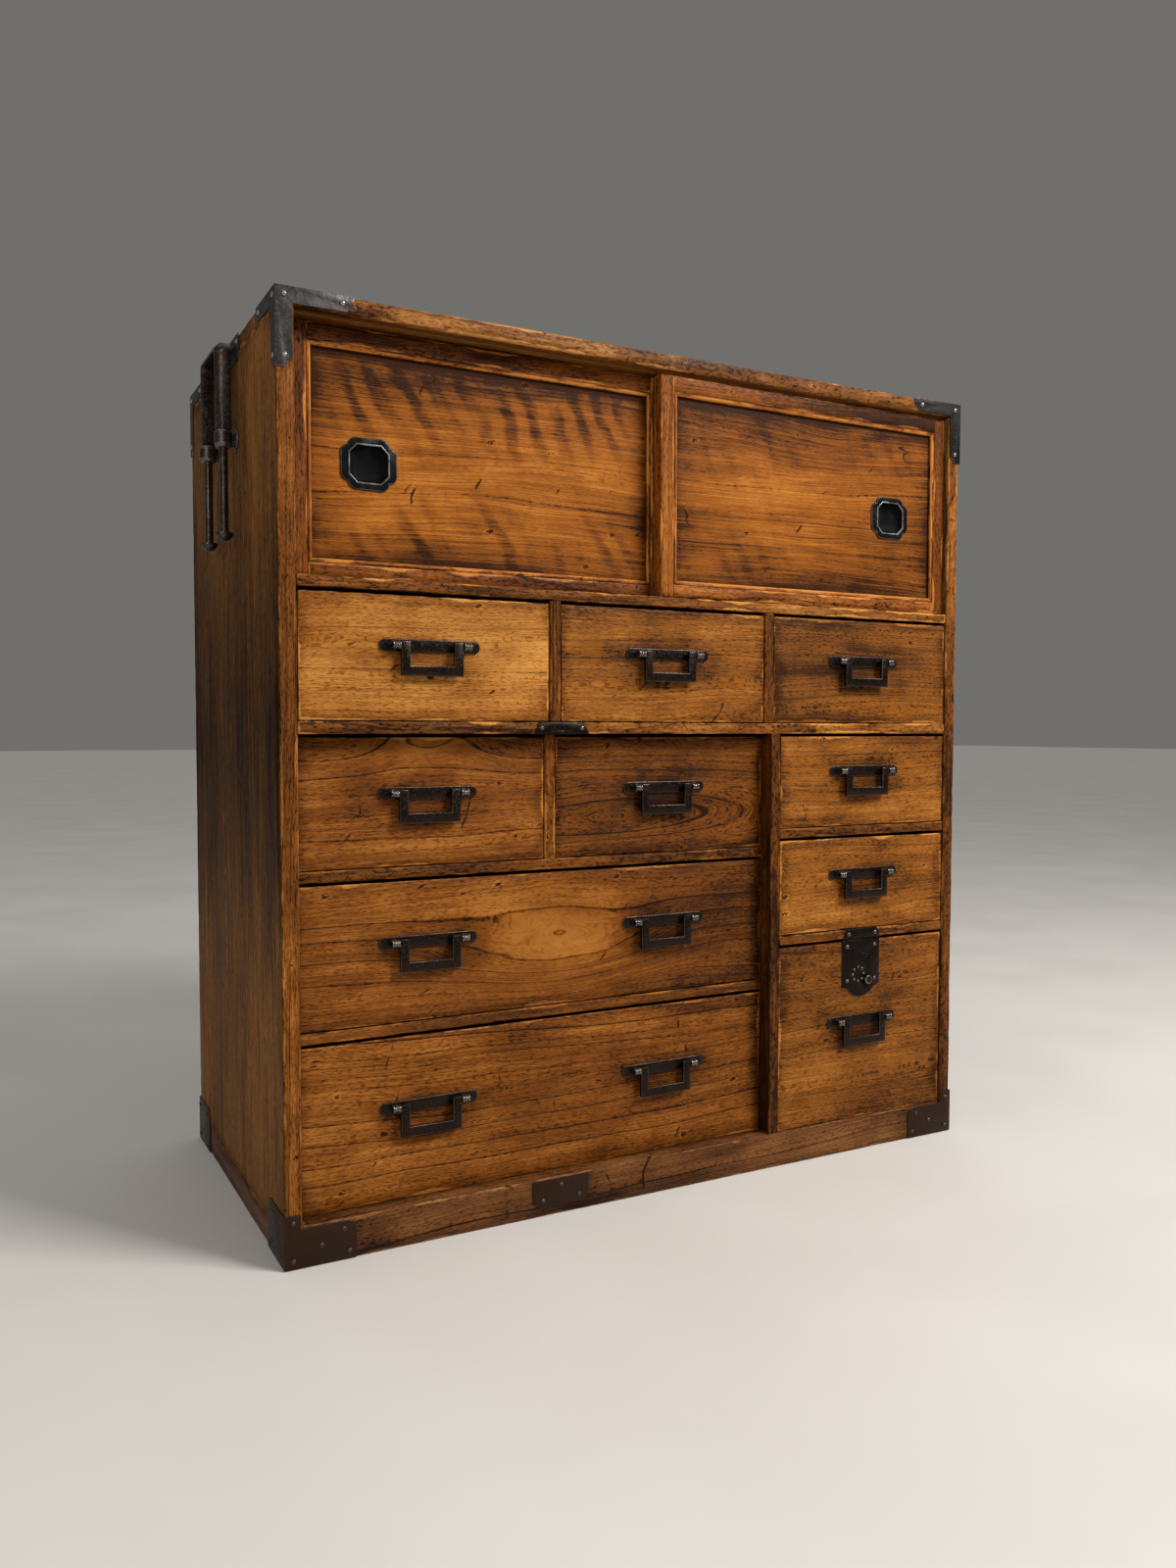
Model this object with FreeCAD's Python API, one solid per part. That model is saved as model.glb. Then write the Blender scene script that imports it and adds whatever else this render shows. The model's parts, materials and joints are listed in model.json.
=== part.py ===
import FreeCAD, Part
import math
import os

# A merchant chest of the counter type: two sliding doors over ten drawers, with iron fittings.
# Millimetres. +Z is up, the front looks along -Y, and X runs from left to right.

# Wooden case
CASE_WIDTH = 906.0
CASE_DEPTH = 450.5
CASE_HEIGHT = 979.0
SIDE_BOARD = 18.0
TOP_BOARD = 18.0
BACK_BOARD = 8.0
BACK_BOARD_COUNT = 5
BACK_BOARD_SEAM = 0.4
BOTTOM_BOARD = 12.0
BASE_RAIL_HEIGHT = 31.0
BASE_RAIL_DEPTH = 24.0
DOOR_SHELF = 12.5
ROW_SHELF = 13.5
DUST_BOARD = 12.5
UPRIGHT = 13.5
HOUSING_DEPTH = 5.0
HOUSING_STOP = 20.0
TOP_TONGUE = 8.0
TOP_TONGUE_HEIGHT = 6.0

# Heights of the drawer openings, from the floor of each stack upwards
WIDE_LOWER_OPENING = 179.0
WIDE_UPPER_OPENING = 154.5
SMALL_OPENING = 140.5
ROW_OPENING = 133.5
SIDE_MIDDLE_OPENING = 121.5
SIDE_UPPER_OPENING = 117.5

# Centres of the uprights, measured across from the middle of the chest
ROW_LEFT_UPRIGHT_X = -148.0
ROW_RIGHT_UPRIGHT_X = 144.5
SMALL_UPRIGHT_X = -145.5
COLUMN_UPRIGHT_X = 156.5

# Depth by which the lower left bay is set back for its missing lift-out panel
BAY_RECESS = 19.0

# Drawers
DRAWER_FRONT = 16.0
DRAWER_SIDE = 9.0
DRAWER_BACK = 9.0
DRAWER_BOTTOM = 6.0
DRAWER_BOTTOM_RAISE = 4.0
DRAWER_FACE_INSET = 1.5
DRAWER_SIDE_GAP = 0.8
DRAWER_TOP_GAP = 2.0
DRAWER_RUN_GAP = 0.4
DRAWER_REAR_GAP = 12.0
DRAWER_BOX_INSET = 1.0
DRAWER_BOX_DROP = 6.0
DRAWER_ARRIS = 0.8

# Sliding doors
DOOR_INSET = 7.0
DOOR_THICKNESS = 16.0
DOOR_SPACING = 3.0
DOOR_OVERLAP = 16.0
DOOR_STILE = 18.0
DOOR_TOP_RAIL = 18.0
DOOR_BOTTOM_RAIL = 15.0
DOOR_PANEL = 5.0
DOOR_PANEL_SINK = 5.0
DOOR_PANEL_TENON = 6.0
DOOR_BEAD_WIDTH = 5.0
DOOR_BEAD_HEIGHT = 4.5
DOOR_BEAD_ROUND = 2.0
DOOR_TONGUE = 8.0
DOOR_LIFT_GAP = 3.0
DOOR_RUN_GAP = 0.4
SILL_GROOVE_DEPTH = 3.0
HEAD_GROOVE_DEPTH = 10.0

# Finger pulls
PULL_WIDTH = 61.0
PULL_HEIGHT = 54.0
PULL_LOBE_ROUND = 9.0
PULL_NOTCH = 8.0
PULL_RIM = 2.0
PULL_RIM_BEVEL = 0.9
PULL_WALL = 1.0
CUP_WIDTH = 41.0
CUP_HEIGHT = 38.0
CUP_CORNER = 8.0
CUP_DEPTH = 8.0
LEFT_PULL_FROM_EDGE = 84.0
RIGHT_PULL_FROM_EDGE = 91.0
PULL_BELOW_MIDDLE = 8.0

# Drawer handles
IRON_SHEET = 1.4
HANDLE_PLATE_LENGTH = 112.0
HANDLE_PLATE_HEIGHT = 13.4
HANDLE_RAISE = 11.5
SMALL_HANDLE_DROP = 4.0
WIDE_UPPER_HANDLE_DROP = 2.5
BAY_LEFT_HANDLE_SHIFT = 2.5
COLUMN_HANDLE_SHIFT = -2.5
POST_DIAMETER = 9.0
POST_REACH = 12.0
POST_SHANK_DIAMETER = 4.0
POST_SHANK_CLEARANCE = 0.1
POST_TAIL_LENGTH = 14.0
POST_TAIL_WIDTH = 3.0
POST_TAIL_THICKNESS = 2.0
BAIL_WIDTH = 69.0
BAIL_LEG = 10.0
BAIL_BAR = 10.4
BAIL_DROP = 31.4
BAIL_THICKNESS = 4.5
BAIL_STAND_OFF = 7.2
BAIL_CORNER = 1.8
BAIL_POST_GAP = 0.5
PIN_DIAMETER = 4.0
PIN_LENGTH = 5.0
PIN_CLEARANCE = 0.08
STOP_NAIL_DIAMETER = 7.0
STOP_NAIL_HEIGHT = 3.0

# Lock on the lowest drawer of the right column
LOCK_FROM_DRAWER_MIDDLE = -4.0
LOCK_WIDTH = 61.5
LOCK_HEIGHT = 74.0
LOCK_FOOT = 12.0
LOCK_SHOULDER_STEP = 8.0
LOCK_SHOULDER_SLOPE = 1.5
KEY_HOLE_DIAMETER = 5.0
KEY_HOLE_X = 8.0
KEY_HOLE_DROP = 21.0
BUTTON_DIAMETER = 12.0
BUTTON_REACH = 5.0
BUTTON_ROUND = 2.0
BUTTON_SINK = 3.0
BUTTON_TRAVEL = 4.0
BUTTON_CLEARANCE = 0.4
BUTTON_X = 10.0
BUTTON_DROP = 53.0
STUD_DIAMETER = 4.0
STUD_HEIGHT = 1.4
STUD_COUNT = 8
STUD_RING = 9.0
STUD_RING_X = -4.5
STUD_RING_DROP = 45.0
BOLT_WIDTH = 14.0
BOLT_THICKNESS = 4.0
BOLT_LENGTH = 34.0
BOLT_TRAVEL = 8.0
BOLT_CLEARANCE = 0.4
BOLT_BEHIND_FACE = 9.0
KEEP_PLATE_WIDTH = 68.0
KEEP_PLATE_SLOPE = 6.0
KEEP_HOLE_DIAMETER = 6.0
KEEP_HOLE_DEPTH = 10.0
KEEP_PLATE_X = -140.5

# Iron straps and plates on the corners and edges, and their nails
STRAP_WIDTH = 16.0
STRAP_LENGTH = 78.0
STRAP_SCOOP = 7.0
SHOE_FRONT_LENGTH = 74.0
SHOE_SIDE_LENGTH = 68.0
SHOE_HEIGHT = 41.0
SHOE_UPSTAND = 56.0
SHOE_FLOOR_GAP = 1.0
SHOE_ROUND = 11.0
BASE_PLATE_WIDTH = 70.0
BASE_PLATE_HEIGHT = 31.0
BASE_PLATE_CHAMFER = 8.0
BASE_PLATE_X = -141.5
BASE_PLATE_DROP = 1.5
GUARD_LENGTH = 126.0
GUARD_HEIGHT = 28.0
NAIL_DIAMETER = 6.0
NAIL_HEIGHT = 2.0
NAIL_MARGIN = 8.0

# Pole handles that draw up out of sleeves on the sides
ROD_DIAMETER = 9.0
ROD_SPACING = 86.0
ROD_STAND_OFF = 14.0
ROD_CLEARANCE = 0.1
ROD_HEAD_DIAMETER = 19.0
ROD_HEAD_RIM = 2.0
ROD_HEAD_DOME = 7.0
POLE_TRAVEL = 92.5
POLE_REST_GAP = 0.4
SLEEVE_DIAMETER = 20.0
SLEEVE_HEIGHT = 20.0
SLEEVE_TOP_DROP = 102.0
SLEEVE_NECK = 10.0
SLEEVE_WASHER_DIAMETER = 26.0
SLEEVE_WASHER = 2.0
BOW_WIDTH = 16.5
BOW_THICKNESS = 9.0
BOW_HEIGHT = 96.0
BOW_OUTER_ROUND = 12.0
BOW_INNER_ROUND = 8.0
BOW_BEVEL = 6.5

# Places worked out from the sizes above
HANDLE_REACH = IRON_SHEET + POST_REACH - DRAWER_FACE_INSET
BACK_REACH = IRON_SHEET + NAIL_HEIGHT
FRONT_Y = (HANDLE_REACH - BACK_REACH - CASE_DEPTH) / 2
BACK_Y = FRONT_Y + CASE_DEPTH
MIDDLE_Y = (FRONT_Y + BACK_Y) / 2
INNER_BACK_Y = BACK_Y - BACK_BOARD
BAY_Y = FRONT_Y + BAY_RECESS
LEFT_X = -CASE_WIDTH / 2
INNER_X = CASE_WIDTH / 2 - SIDE_BOARD
BASE_Z = BASE_RAIL_HEIGHT + BOTTOM_BOARD
TOP_UNDER_Z = CASE_HEIGHT - TOP_BOARD
WIDE_LOWER_TOP_Z = BASE_Z + WIDE_LOWER_OPENING
WIDE_UPPER_Z = WIDE_LOWER_TOP_Z + DUST_BOARD
WIDE_UPPER_TOP_Z = WIDE_UPPER_Z + WIDE_UPPER_OPENING
SMALL_Z = WIDE_UPPER_TOP_Z + DUST_BOARD
ROW_SHELF_Z = SMALL_Z + SMALL_OPENING
ROW_Z = ROW_SHELF_Z + ROW_SHELF
DOOR_SHELF_Z = ROW_Z + ROW_OPENING
SILL_Z = DOOR_SHELF_Z + DOOR_SHELF
SIDE_UPPER_Z = ROW_SHELF_Z - SIDE_UPPER_OPENING
SIDE_MIDDLE_TOP_Z = SIDE_UPPER_Z - DUST_BOARD
SIDE_MIDDLE_Z = SIDE_MIDDLE_TOP_Z - SIDE_MIDDLE_OPENING
SIDE_LOWER_TOP_Z = SIDE_MIDDLE_Z - DUST_BOARD
FRONT_DOOR_Y = FRONT_Y + DOOR_INSET
REAR_DOOR_Y = FRONT_DOOR_Y + DOOR_THICKNESS + DOOR_SPACING
SLEEVE_TOP_Z = CASE_HEIGHT - SLEEVE_TOP_DROP
SLEEVE_Z = SLEEVE_TOP_Z - SLEEVE_HEIGHT

V = FreeCAD.Vector
ACROSS = V(1, 0, 0)
INWARD = V(0, 1, 0)
OUTWARD = V(0, -1, 0)
UP = V(0, 0, 1)

parts = {}


def block(x, y, z):
    """A straight-edged piece between pairs of limits."""
    return Part.makeBox(x[1] - x[0], y[1] - y[0], z[1] - z[0], V(x[0], y[0], z[0]))


def rod(diameter, start, direction, length):
    return Part.makeCylinder(diameter / 2, length, start, direction)


def dome(diameter, height, point, normal):
    """A round nail head sitting on a face."""
    radius = (diameter * diameter / 4 + height * height) / (2 * height)
    rise = radius - height
    latitude = math.degrees(math.asin(rise / radius))
    return Part.makeSphere(radius, point - normal * rise, normal, latitude, 90, 360)


def outline_plate(points, y, thickness):
    """A flat plate with a straight-sided outline of X and Z points, from y towards the back."""
    corners = [V(x, y, z) for x, z in points]
    face = Part.Face(Part.makePolygon(corners + corners[:1]))
    return face.extrude(INWARD * thickness)


def rounded_plate(x, y, z, radius, bevel):
    """A plate whose four corners are rounded and whose front arris is bevelled."""
    plate = block(x, y, z)
    corners = [edge for edge in plate.Edges if near(edge.BoundBox.YLength, y[1] - y[0])]
    plate = plate.makeFillet(radius, corners)
    return plate.makeChamfer(bevel, edges_where(plate, lambda p: near(p.y, y[0])))


def joined(pieces):
    return pieces[0].fuse(pieces[1:]).removeSplitter()


def group(pieces):
    return Part.makeCompound(pieces)


def edges_where(shape, test):
    """The straight edges whose two ends both pass a test on their position."""
    return [edge for edge in shape.Edges if all(test(v.Point) for v in edge.Vertexes)]


def near(a, b):
    return abs(a - b) < 1e-4


def mirrored_left_right(shape):
    return shape.mirror(V(0, 0, 0), ACROSS)


def mirrored_front_back(shape):
    return shape.mirror(V(0, MIDDLE_Y, 0), INWARD)


def upright_limits(centre):
    return (centre - UPRIGHT / 2, centre + UPRIGHT / 2)


def housed_shelf(z, thickness):
    """A shelf across the case, with tongues that end in stopped housings in both sides."""
    board = block((-INNER_X, INNER_X), (FRONT_Y, INNER_BACK_Y), (z, z + thickness))
    reach = INNER_X + HOUSING_DEPTH
    tongues = block((-reach, reach), (FRONT_Y + HOUSING_STOP, INNER_BACK_Y), (z, z + thickness))
    return joined([board, tongues])


def door_groove(door_y, z):
    """The space of one door groove, wider than the door's tongue by the running gap on each side."""
    tongue_y = door_y + (DOOR_THICKNESS - DOOR_TONGUE) / 2
    limits = (tongue_y - DOOR_RUN_GAP, tongue_y + DOOR_TONGUE + DOOR_RUN_GAP)
    return block((-INNER_X, INNER_X), limits, z)


def make_case():
    door_shelf = housed_shelf(DOOR_SHELF_Z, DOOR_SHELF)
    row_shelf = housed_shelf(ROW_SHELF_Z, ROW_SHELF)
    sides = []
    for sign in (-1, 1):
        x = sorted((sign * INNER_X, sign * (INNER_X + SIDE_BOARD)))
        board = block(x, (FRONT_Y, BACK_Y), (BASE_RAIL_HEIGHT, TOP_UNDER_Z))
        middle = sum(x) / 2
        tongue_x = (middle - TOP_TONGUE / 2, middle + TOP_TONGUE / 2)
        tongue_y = (FRONT_Y + HOUSING_STOP, BACK_Y - HOUSING_STOP)
        tongue = block(tongue_x, tongue_y, (TOP_UNDER_Z, TOP_UNDER_Z + TOP_TONGUE_HEIGHT))
        sides.append(joined([board, tongue]).cut([door_shelf, row_shelf]))
    half = CASE_WIDTH / 2
    top = block((-half, half), (FRONT_Y, BACK_Y), (TOP_UNDER_Z, CASE_HEIGHT)).cut(sides)
    for door_y in (FRONT_DOOR_Y, REAR_DOOR_Y):
        top = top.cut(door_groove(door_y, (TOP_UNDER_Z, TOP_UNDER_Z + HEAD_GROOVE_DEPTH)))
        door_shelf = door_shelf.cut(door_groove(door_y, (SILL_Z - SILL_GROOVE_DEPTH, SILL_Z)))
    keep_hole = V(KEEP_PLATE_X, FRONT_Y, ROW_SHELF_Z + ROW_SHELF / 2)
    row_shelf = row_shelf.cut(rod(KEEP_HOLE_DIAMETER, keep_hole, INWARD, KEEP_HOLE_DEPTH))
    parts["left_side_panel"], parts["right_side_panel"] = sides
    parts["top_board"] = top
    parts["shelf_boards"] = group([door_shelf, row_shelf])
    parts["bottom_board"] = block(
        (-INNER_X, INNER_X), (FRONT_Y + BASE_RAIL_DEPTH, INNER_BACK_Y), (BASE_RAIL_HEIGHT, BASE_Z)
    )
    parts["back_boards"] = make_back_boards()
    parts["base_frame"] = make_base_frame()
    parts["drawer_dividers"] = make_dividers()


def make_back_boards():
    pitch = 2 * INNER_X / BACK_BOARD_COUNT
    boards = []
    for index in range(BACK_BOARD_COUNT):
        start = -INNER_X + index * pitch
        last = index == BACK_BOARD_COUNT - 1
        end = INNER_X if last else start + pitch - BACK_BOARD_SEAM
        boards.append(block((start, end), (INNER_BACK_Y, BACK_Y), (BASE_RAIL_HEIGHT, TOP_UNDER_Z)))
    return group(boards)


def make_base_frame():
    half = CASE_WIDTH / 2
    height = (0, BASE_RAIL_HEIGHT)
    front_y = (FRONT_Y, FRONT_Y + BASE_RAIL_DEPTH)
    back_y = (BACK_Y - BASE_RAIL_DEPTH, BACK_Y)
    front = joined([
        block((-half, half), front_y, height),
        block((-INNER_X, INNER_X), front_y, (BASE_RAIL_HEIGHT, BASE_Z)),
    ])
    back = block((-half, half), back_y, height)
    left = block((-half, BASE_RAIL_DEPTH - half), (front_y[1], back_y[0]), height)
    right = block((half - BASE_RAIL_DEPTH, half), (front_y[1], back_y[0]), height)
    return group([front, back, left, right])


def make_dividers():
    """Boards that the drawers run on, and the uprights between drawers."""
    column = upright_limits(COLUMN_UPRIGHT_X)
    bay_depth = (BAY_Y, INNER_BACK_Y)
    full_depth = (FRONT_Y, INNER_BACK_Y)
    bay_x = (-INNER_X, column[0])
    side_x = (column[1], INNER_X)
    lock_board = block(side_x, full_depth, (SIDE_LOWER_TOP_Z, SIDE_MIDDLE_Z)).cut(keeper_slot())
    return group([
        block(bay_x, bay_depth, (WIDE_LOWER_TOP_Z, WIDE_UPPER_Z)),
        block(bay_x, bay_depth, (WIDE_UPPER_TOP_Z, SMALL_Z)),
        lock_board,
        block(side_x, full_depth, (SIDE_MIDDLE_TOP_Z, SIDE_UPPER_Z)),
        block(column, full_depth, (BASE_Z, ROW_SHELF_Z)),
        block(upright_limits(SMALL_UPRIGHT_X), bay_depth, (SMALL_Z, ROW_SHELF_Z)),
        block(upright_limits(ROW_LEFT_UPRIGHT_X), full_depth, (ROW_Z, DOOR_SHELF_Z)),
        block(upright_limits(ROW_RIGHT_UPRIGHT_X), full_depth, (ROW_Z, DOOR_SHELF_Z)),
    ])


def pull_outline(grow, y, thickness):
    """The cut-cornered oblong of a pull's cup, grown by a margin all round, centred on X = Z = 0."""
    w = CUP_WIDTH / 2 + grow
    h = CUP_HEIGHT / 2 + grow
    points = []
    for x, z in ((-1, -1), (1, -1), (1, 1), (-1, 1)):
        along = (x * (w - CUP_CORNER), z * h)
        down = (x * w, z * (h - CUP_CORNER))
        points += [down, along] if x * z > 0 else [along, down]
    points = points[1:] + points[:1]
    return outline_plate(points, y, thickness)


def make_pull(face_y):
    """A dished finger pull whose rim lies on the panel face at face_y."""
    w = PULL_WIDTH / 2
    h = PULL_HEIGHT / 2
    rim_y = (face_y - PULL_RIM, face_y)
    long_lobe = rounded_plate(
        (-w, w), rim_y, (PULL_NOTCH - h, h - PULL_NOTCH), PULL_LOBE_ROUND, PULL_RIM_BEVEL
    )
    tall_lobe = rounded_plate(
        (PULL_NOTCH - w, w - PULL_NOTCH), rim_y, (-h, h), PULL_LOBE_ROUND, PULL_RIM_BEVEL
    )
    cup = pull_outline(PULL_WALL, face_y, CUP_DEPTH + PULL_WALL - PULL_RIM)
    hollow = pull_outline(0, rim_y[0], CUP_DEPTH)
    return joined([long_lobe, tall_lobe, cup]).cut(hollow)


def make_bead(near_points, far_points, y):
    """One mitred strip round a panel; the near points lie on the panel's side and are rounded over."""
    strip = outline_plate(near_points + far_points[::-1], y, DOOR_BEAD_HEIGHT)
    (xa, za), (xb, zb) = near_points

    def on_inner_arris(p):
        at_a = near(p.x, xa) and near(p.z, za)
        at_b = near(p.x, xb) and near(p.z, zb)
        return near(p.y, y) and (at_a or at_b)

    return strip.makeFillet(DOOR_BEAD_ROUND, edges_where(strip, on_inner_arris))


def make_door(x, y, pull_x):
    """A framed sliding door and its pull, between limits x, with its face at y."""
    z = (SILL_Z + DOOR_RUN_GAP, TOP_UNDER_Z - DOOR_LIFT_GAP)
    foot_z = SILL_Z - SILL_GROOVE_DEPTH + DOOR_RUN_GAP
    head_z = TOP_UNDER_Z + HEAD_GROOVE_DEPTH - DOOR_LIFT_GAP
    body_y = (y, y + DOOR_THICKNESS)
    tongue_y = (y + (DOOR_THICKNESS - DOOR_TONGUE) / 2, y + (DOOR_THICKNESS + DOOR_TONGUE) / 2)
    inner_x = (x[0] + DOOR_STILE, x[1] - DOOR_STILE)
    inner_z = (z[0] + DOOR_BOTTOM_RAIL, z[1] - DOOR_TOP_RAIL)
    panel_y = y + DOOR_PANEL_SINK
    panel = block(
        (inner_x[0] - DOOR_PANEL_TENON, inner_x[1] + DOOR_PANEL_TENON),
        (panel_y, panel_y + DOOR_PANEL),
        (inner_z[0] - DOOR_PANEL_TENON, inner_z[1] + DOOR_PANEL_TENON),
    )
    frame = []
    for stile_x in ((x[0], inner_x[0]), (inner_x[1], x[1])):
        frame.append(joined([block(stile_x, body_y, z), block(stile_x, tongue_y, (foot_z, head_z))]))
    frame.append(joined([
        block(inner_x, body_y, (inner_z[1], z[1])), block(inner_x, tongue_y, (inner_z[1], head_z))
    ]))
    frame.append(joined([
        block(inner_x, body_y, (z[0], inner_z[0])), block(inner_x, tongue_y, (foot_z, inner_z[0]))
    ]))
    frame = [piece.cut(panel) for piece in frame]
    outer = [(inner_x[i], inner_z[j]) for i, j in ((0, 0), (1, 0), (1, 1), (0, 1))]
    inner = []
    for i, j in ((0, 0), (1, 0), (1, 1), (0, 1)):
        step_x = DOOR_BEAD_WIDTH if i == 0 else -DOOR_BEAD_WIDTH
        step_z = DOOR_BEAD_WIDTH if j == 0 else -DOOR_BEAD_WIDTH
        inner.append((inner_x[i] + step_x, inner_z[j] + step_z))
    beads = []
    for index in range(4):
        after = (index + 1) % 4
        beads.append(make_bead(
            [inner[index], inner[after]], [outer[index], outer[after]], panel_y - DOOR_BEAD_HEIGHT
        ))
    pull_place = V(pull_x, 0, sum(z) / 2 - PULL_BELOW_MIDDLE)
    hole = pull_outline(PULL_WALL, panel_y, DOOR_PANEL)
    hole.translate(pull_place)
    pull = make_pull(panel_y)
    pull.translate(pull_place)
    return group(frame + [panel.cut(hole)] + beads), pull


def make_doors():
    left_x = (-INNER_X + DOOR_RUN_GAP, DOOR_OVERLAP / 2)
    right_x = (-DOOR_OVERLAP / 2, INNER_X - DOOR_RUN_GAP)
    left = make_door(left_x, REAR_DOOR_Y, left_x[0] + LEFT_PULL_FROM_EDGE)
    right = make_door(right_x, FRONT_DOOR_Y, right_x[1] - RIGHT_PULL_FROM_EDGE)
    parts["left_door"], parts["left_door_pull"] = left
    parts["right_door"], parts["right_door_pull"] = right


def make_post(x, face_y, z):
    """A handle post with its pin hole, its shank through the drawer front and its clenched tail."""
    outer_y = face_y - IRON_SHEET - POST_REACH
    inner_y = face_y + DRAWER_FRONT
    head = rod(POST_DIAMETER, V(x, outer_y, z), INWARD, POST_REACH)
    shank = rod(POST_SHANK_DIAMETER, V(x, outer_y, z), INWARD, inner_y - outer_y)
    tail = block(
        (x - POST_TAIL_WIDTH / 2, x + POST_TAIL_WIDTH / 2),
        (inner_y, inner_y + POST_TAIL_THICKNESS),
        (z - POST_TAIL_LENGTH / 2, z + POST_TAIL_LENGTH / 2),
    )
    hole_start = V(x - POST_DIAMETER, face_y - BAIL_STAND_OFF, z)
    pin_hole = rod(PIN_DIAMETER + 2 * PIN_CLEARANCE, hole_start, ACROSS, 2 * POST_DIAMETER)
    return joined([head, shank, tail]).cut(pin_hole)


def post_places(x):
    offset = BAIL_WIDTH / 2 + BAIL_POST_GAP + POST_DIAMETER / 2
    return (x - offset, x + offset)


def shank_holes(x, face_y, z):
    """The holes that a handle's two posts need through the plate and the drawer front."""
    diameter = POST_SHANK_DIAMETER + 2 * POST_SHANK_CLEARANCE
    length = IRON_SHEET + DRAWER_FRONT
    return [rod(diameter, V(px, face_y - IRON_SHEET, z), INWARD, length) for px in post_places(x)]


def make_handle_plate(x, face_y, z):
    """The back plate, the two posts and the stop nail of one handle."""
    end = HANDLE_PLATE_LENGTH / 2 - HANDLE_PLATE_HEIGHT / 2
    half = HANDLE_PLATE_HEIGHT / 2
    y = (face_y - IRON_SHEET, face_y)
    plate = [block((x - end, x + end), y, (z - half, z + half))]
    for place in (x - end, x + end):
        plate.append(rod(HANDLE_PLATE_HEIGHT, V(place, y[0], z), INWARD, IRON_SHEET))
    plate = joined(plate).cut(shank_holes(x, face_y, z))
    posts = [make_post(place, face_y, z) for place in post_places(x)]
    stop_nail = dome(STOP_NAIL_DIAMETER, STOP_NAIL_HEIGHT, V(x, face_y, z - BAIL_DROP), OUTWARD)
    return [plate] + posts + [stop_nail]


def make_bail(x, face_y, z):
    """The square swinging bail with its two pins, hanging down from the posts."""
    half = BAIL_WIDTH / 2
    middle_y = face_y - BAIL_STAND_OFF
    y = (middle_y - BAIL_THICKNESS / 2, middle_y + BAIL_THICKNESS / 2)
    foot_z = z - BAIL_DROP
    head_z = z + PIN_DIAMETER
    frame = block((x - half, x + half), y, (foot_z, head_z))
    gap_x = (x - half + BAIL_LEG, x + half - BAIL_LEG)
    frame = frame.cut(block(gap_x, y, (foot_z + BAIL_BAR, head_z)))

    def at_foot_corner(p):
        return near(p.z, foot_z) and near(abs(p.x - x), half)

    frame = frame.makeFillet(BAIL_CORNER, edges_where(frame, at_foot_corner))
    left_pin = rod(PIN_DIAMETER, V(x - half - PIN_LENGTH, middle_y, z), ACROSS, PIN_LENGTH + BAIL_LEG / 2)
    right_pin = rod(PIN_DIAMETER, V(x + half - BAIL_LEG / 2, middle_y, z), ACROSS, PIN_LENGTH + BAIL_LEG / 2)
    return joined([frame, left_pin, right_pin])


def make_drawer(name, opening_x, opening_z, face_y, handle_xs, handle_drop=0.0, lock=False):
    """A drawer in its opening: front, box, ironwork and one bail for each handle."""
    x = (opening_x[0] + DRAWER_SIDE_GAP, opening_x[1] - DRAWER_SIDE_GAP)
    z = (opening_z[0] + DRAWER_RUN_GAP, opening_z[1] - DRAWER_TOP_GAP)
    inner_y = face_y + DRAWER_FRONT
    rear_y = INNER_BACK_Y - DRAWER_REAR_GAP
    handle_z = sum(opening_z) / 2 + HANDLE_RAISE - handle_drop
    front = block(x, (face_y, inner_y), z)
    front = front.makeChamfer(DRAWER_ARRIS, edges_where(front, lambda p: near(p.y, face_y)))
    irons = []
    for handle_x in handle_xs:
        front = front.cut(shank_holes(handle_x, face_y, handle_z))
        irons += make_handle_plate(handle_x, face_y, handle_z)
    if lock:
        lock_x = sum(x) / 2 + LOCK_FROM_DRAWER_MIDDLE
        front = front.cut(bolt_mortise(lock_x, face_y, z[1])).cut(button_hole(lock_x, face_y, z[1]))
        irons += make_lock_plate(lock_x, face_y, z[1])
        parts["lock_bolt"] = make_lock_bolt(lock_x, face_y, z[1])
        parts["lock_button"] = make_lock_button(lock_x, face_y, z[1])
    box_x = (x[0] + DRAWER_BOX_INSET, x[1] - DRAWER_BOX_INSET)
    hollow_x = (box_x[0] + DRAWER_SIDE, box_x[1] - DRAWER_SIDE)
    box_top = z[1] - DRAWER_BOX_DROP
    floor_z = z[0] + DRAWER_BOTTOM_RAISE
    box = [
        block((box_x[0], hollow_x[0]), (inner_y, rear_y), (z[0], box_top)),
        block((hollow_x[1], box_x[1]), (inner_y, rear_y), (z[0], box_top)),
        block(hollow_x, (inner_y, rear_y), (floor_z, floor_z + DRAWER_BOTTOM)),
        block(hollow_x, (rear_y - DRAWER_BACK, rear_y), (floor_z + DRAWER_BOTTOM, box_top)),
    ]
    parts[name + "_drawer_front"] = front
    parts[name + "_drawer_box"] = group(box)
    parts[name + "_drawer_irons"] = group(irons)
    sides = ("left_", "right_") if len(handle_xs) == 2 else ("",)
    for side, handle_x in zip(sides, handle_xs):
        parts[name + "_drawer_" + side + "bail"] = make_bail(handle_x, face_y, handle_z)


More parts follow.
